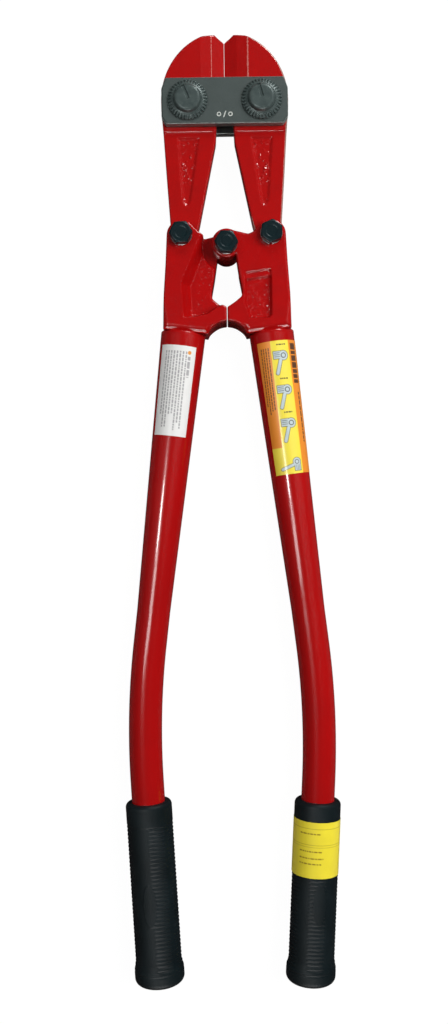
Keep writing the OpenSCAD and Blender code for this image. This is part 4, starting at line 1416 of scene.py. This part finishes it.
def paper():
    """Pale paper: nearly white to the camera and darker where the steel mirrors it."""
    material = bpy.data.materials.new("pale_paper")
    material.use_nodes = True
    tree = material.node_tree
    shade = tree.nodes["Principled BSDF"]
    shade.inputs["Roughness"].default_value = 0.9
    shade.inputs["Specular IOR Level"].default_value = 0.1
    glow = node(tree, "ShaderNodeEmission", {"Color": (1, 1, 1, 1), "Strength": GLOW})
    seen = node(tree, "ShaderNodeLightPath")
    # Glossy rays see the paper painted a dark red-grey: a painted reflection that keeps the steel's sides
    # dark.
    shades = {0: seen.outputs["Is Glossy Ray"], 6: rgb(225, 225, 225), 7: rgb(70, 60, 60)}
    pale = node(tree, "ShaderNodeMix", shades, data_type="RGBA")
    tree.links.new(pale.outputs[2], shade.inputs["Base Color"])
    share = maths(tree, "MULTIPLY", seen.outputs["Is Camera Ray"], GLOW_SHARE)
    mix = node(tree, "ShaderNodeMixShader", {0: share, 1: shade.outputs[0], 2: glow.outputs[0]})
    tree.links.new(mix.outputs[0], tree.nodes["Material Output"].inputs["Surface"])
    return material


floor_mesh = bpy.data.meshes.new("floor")
half = FLOOR_SIZE / 2
floor_corners = [(x * half, y * half, 0) for x, y in ((-1, -1), (1, -1), (1, 1), (-1, 1))]
floor_mesh.from_pydata(floor_corners, [], [(0, 1, 2, 3)])
floor = bpy.data.objects.new("floor", floor_mesh)
floor_mesh.materials.append(paper())
bpy.context.scene.collection.objects.link(floor)


def lamp(name, place, aim, width, length, power, in_gloss=False):
    """Soft rectangular lamp at a place in metres, turned towards another, its length along Y.
    Most lamps light the tool without being mirrored in it; those with in_gloss are only mirrored."""
    data = bpy.data.lights.new(name, "AREA")
    data.shape, data.size, data.size_y = "RECTANGLE", width, length
    data.energy = power
    obj = bpy.data.objects.new(name, data)
    obj.location = place
    obj.rotation_euler = (Vector(aim) - Vector(place)).to_track_quat("-Z", "Y").to_euler()
    obj.visible_glossy = in_gloss
    obj.visible_diffuse = not in_gloss
    bpy.context.scene.collection.objects.link(obj)


lamp("streak_lamp", (-0.34, -0.02, 0.95), (-0.02, 0.0, 0.0), 0.10, 0.13, 1.6, True)
lamp("tail_lamp", (-0.34, -0.16, 0.95), (-0.02, -0.1, 0.0), 0.10, 0.34, 0.8, True)
lamp("edge_lamp", (0.5, 1.15, 0.55), (0.0, 0.2, 0.0), 0.3, 0.2, 6.0, True)
lamp("low_lamp", (0.05, -1.2, 0.7), (0.0, 0.1, 0.0), 0.9, 0.10, 7.0, True)
lamp("right_softbox", (0.9, 0.25, 1.1), (0.0, 0.0, 0.0), 0.8, 1.2, 21.5)
lamp("left_softbox", (-1.0, 0.2, 1.1), (0.0, 0.0, 0.0), 0.6, 1.2, 4.5)
lamp("top_softbox", (0.0, 1.2, 1.0), (0.0, 0.1, 0.0), 1.2, 0.5, 7)
world = bpy.data.worlds.new("studio")
world.use_nodes = True
world.node_tree.nodes["Background"].inputs["Color"].default_value = (1, 1, 1, 1)
world.node_tree.nodes["Background"].inputs["Strength"].default_value = 0.03
bpy.context.scene.world = world
bpy.context.scene.view_settings.view_transform = "Standard"

# %% Camera
DISTANCE, YAW, ROLL = 0.654, math.radians(0.3), math.radians(0.7)
SENSOR_HEIGHT, LENS = 24.0, 23.95
AIM = Vector((-0.0036, -0.0019, ORIGIN[2]))
camera_data = bpy.data.cameras.new("camera")
camera_data.sensor_fit = "VERTICAL"
camera_data.sensor_height, camera_data.lens = SENSOR_HEIGHT, LENS
camera = bpy.data.objects.new("camera", camera_data)
back = Vector((math.sin(YAW), 0.0, math.cos(YAW)))
camera.location = AIM + DISTANCE * back
up = Vector((math.sin(ROLL), math.cos(ROLL), 0.0))
right = up.cross(back).normalized()
up = back.cross(right)
camera.matrix_world = Matrix((
    (right.x, up.x, back.x, camera.location.x), (right.y, up.y, back.y, camera.location.y),
    (right.z, up.z, back.z, camera.location.z), (0, 0, 0, 1),
))
bpy.context.scene.collection.objects.link(camera)
bpy.context.scene.camera = camera

# %% Sizes, and the end
print("triangles", sum(len(p.data.loop_triangles) or len(p.data.polygons) * 2 for p in PIECES.values()))
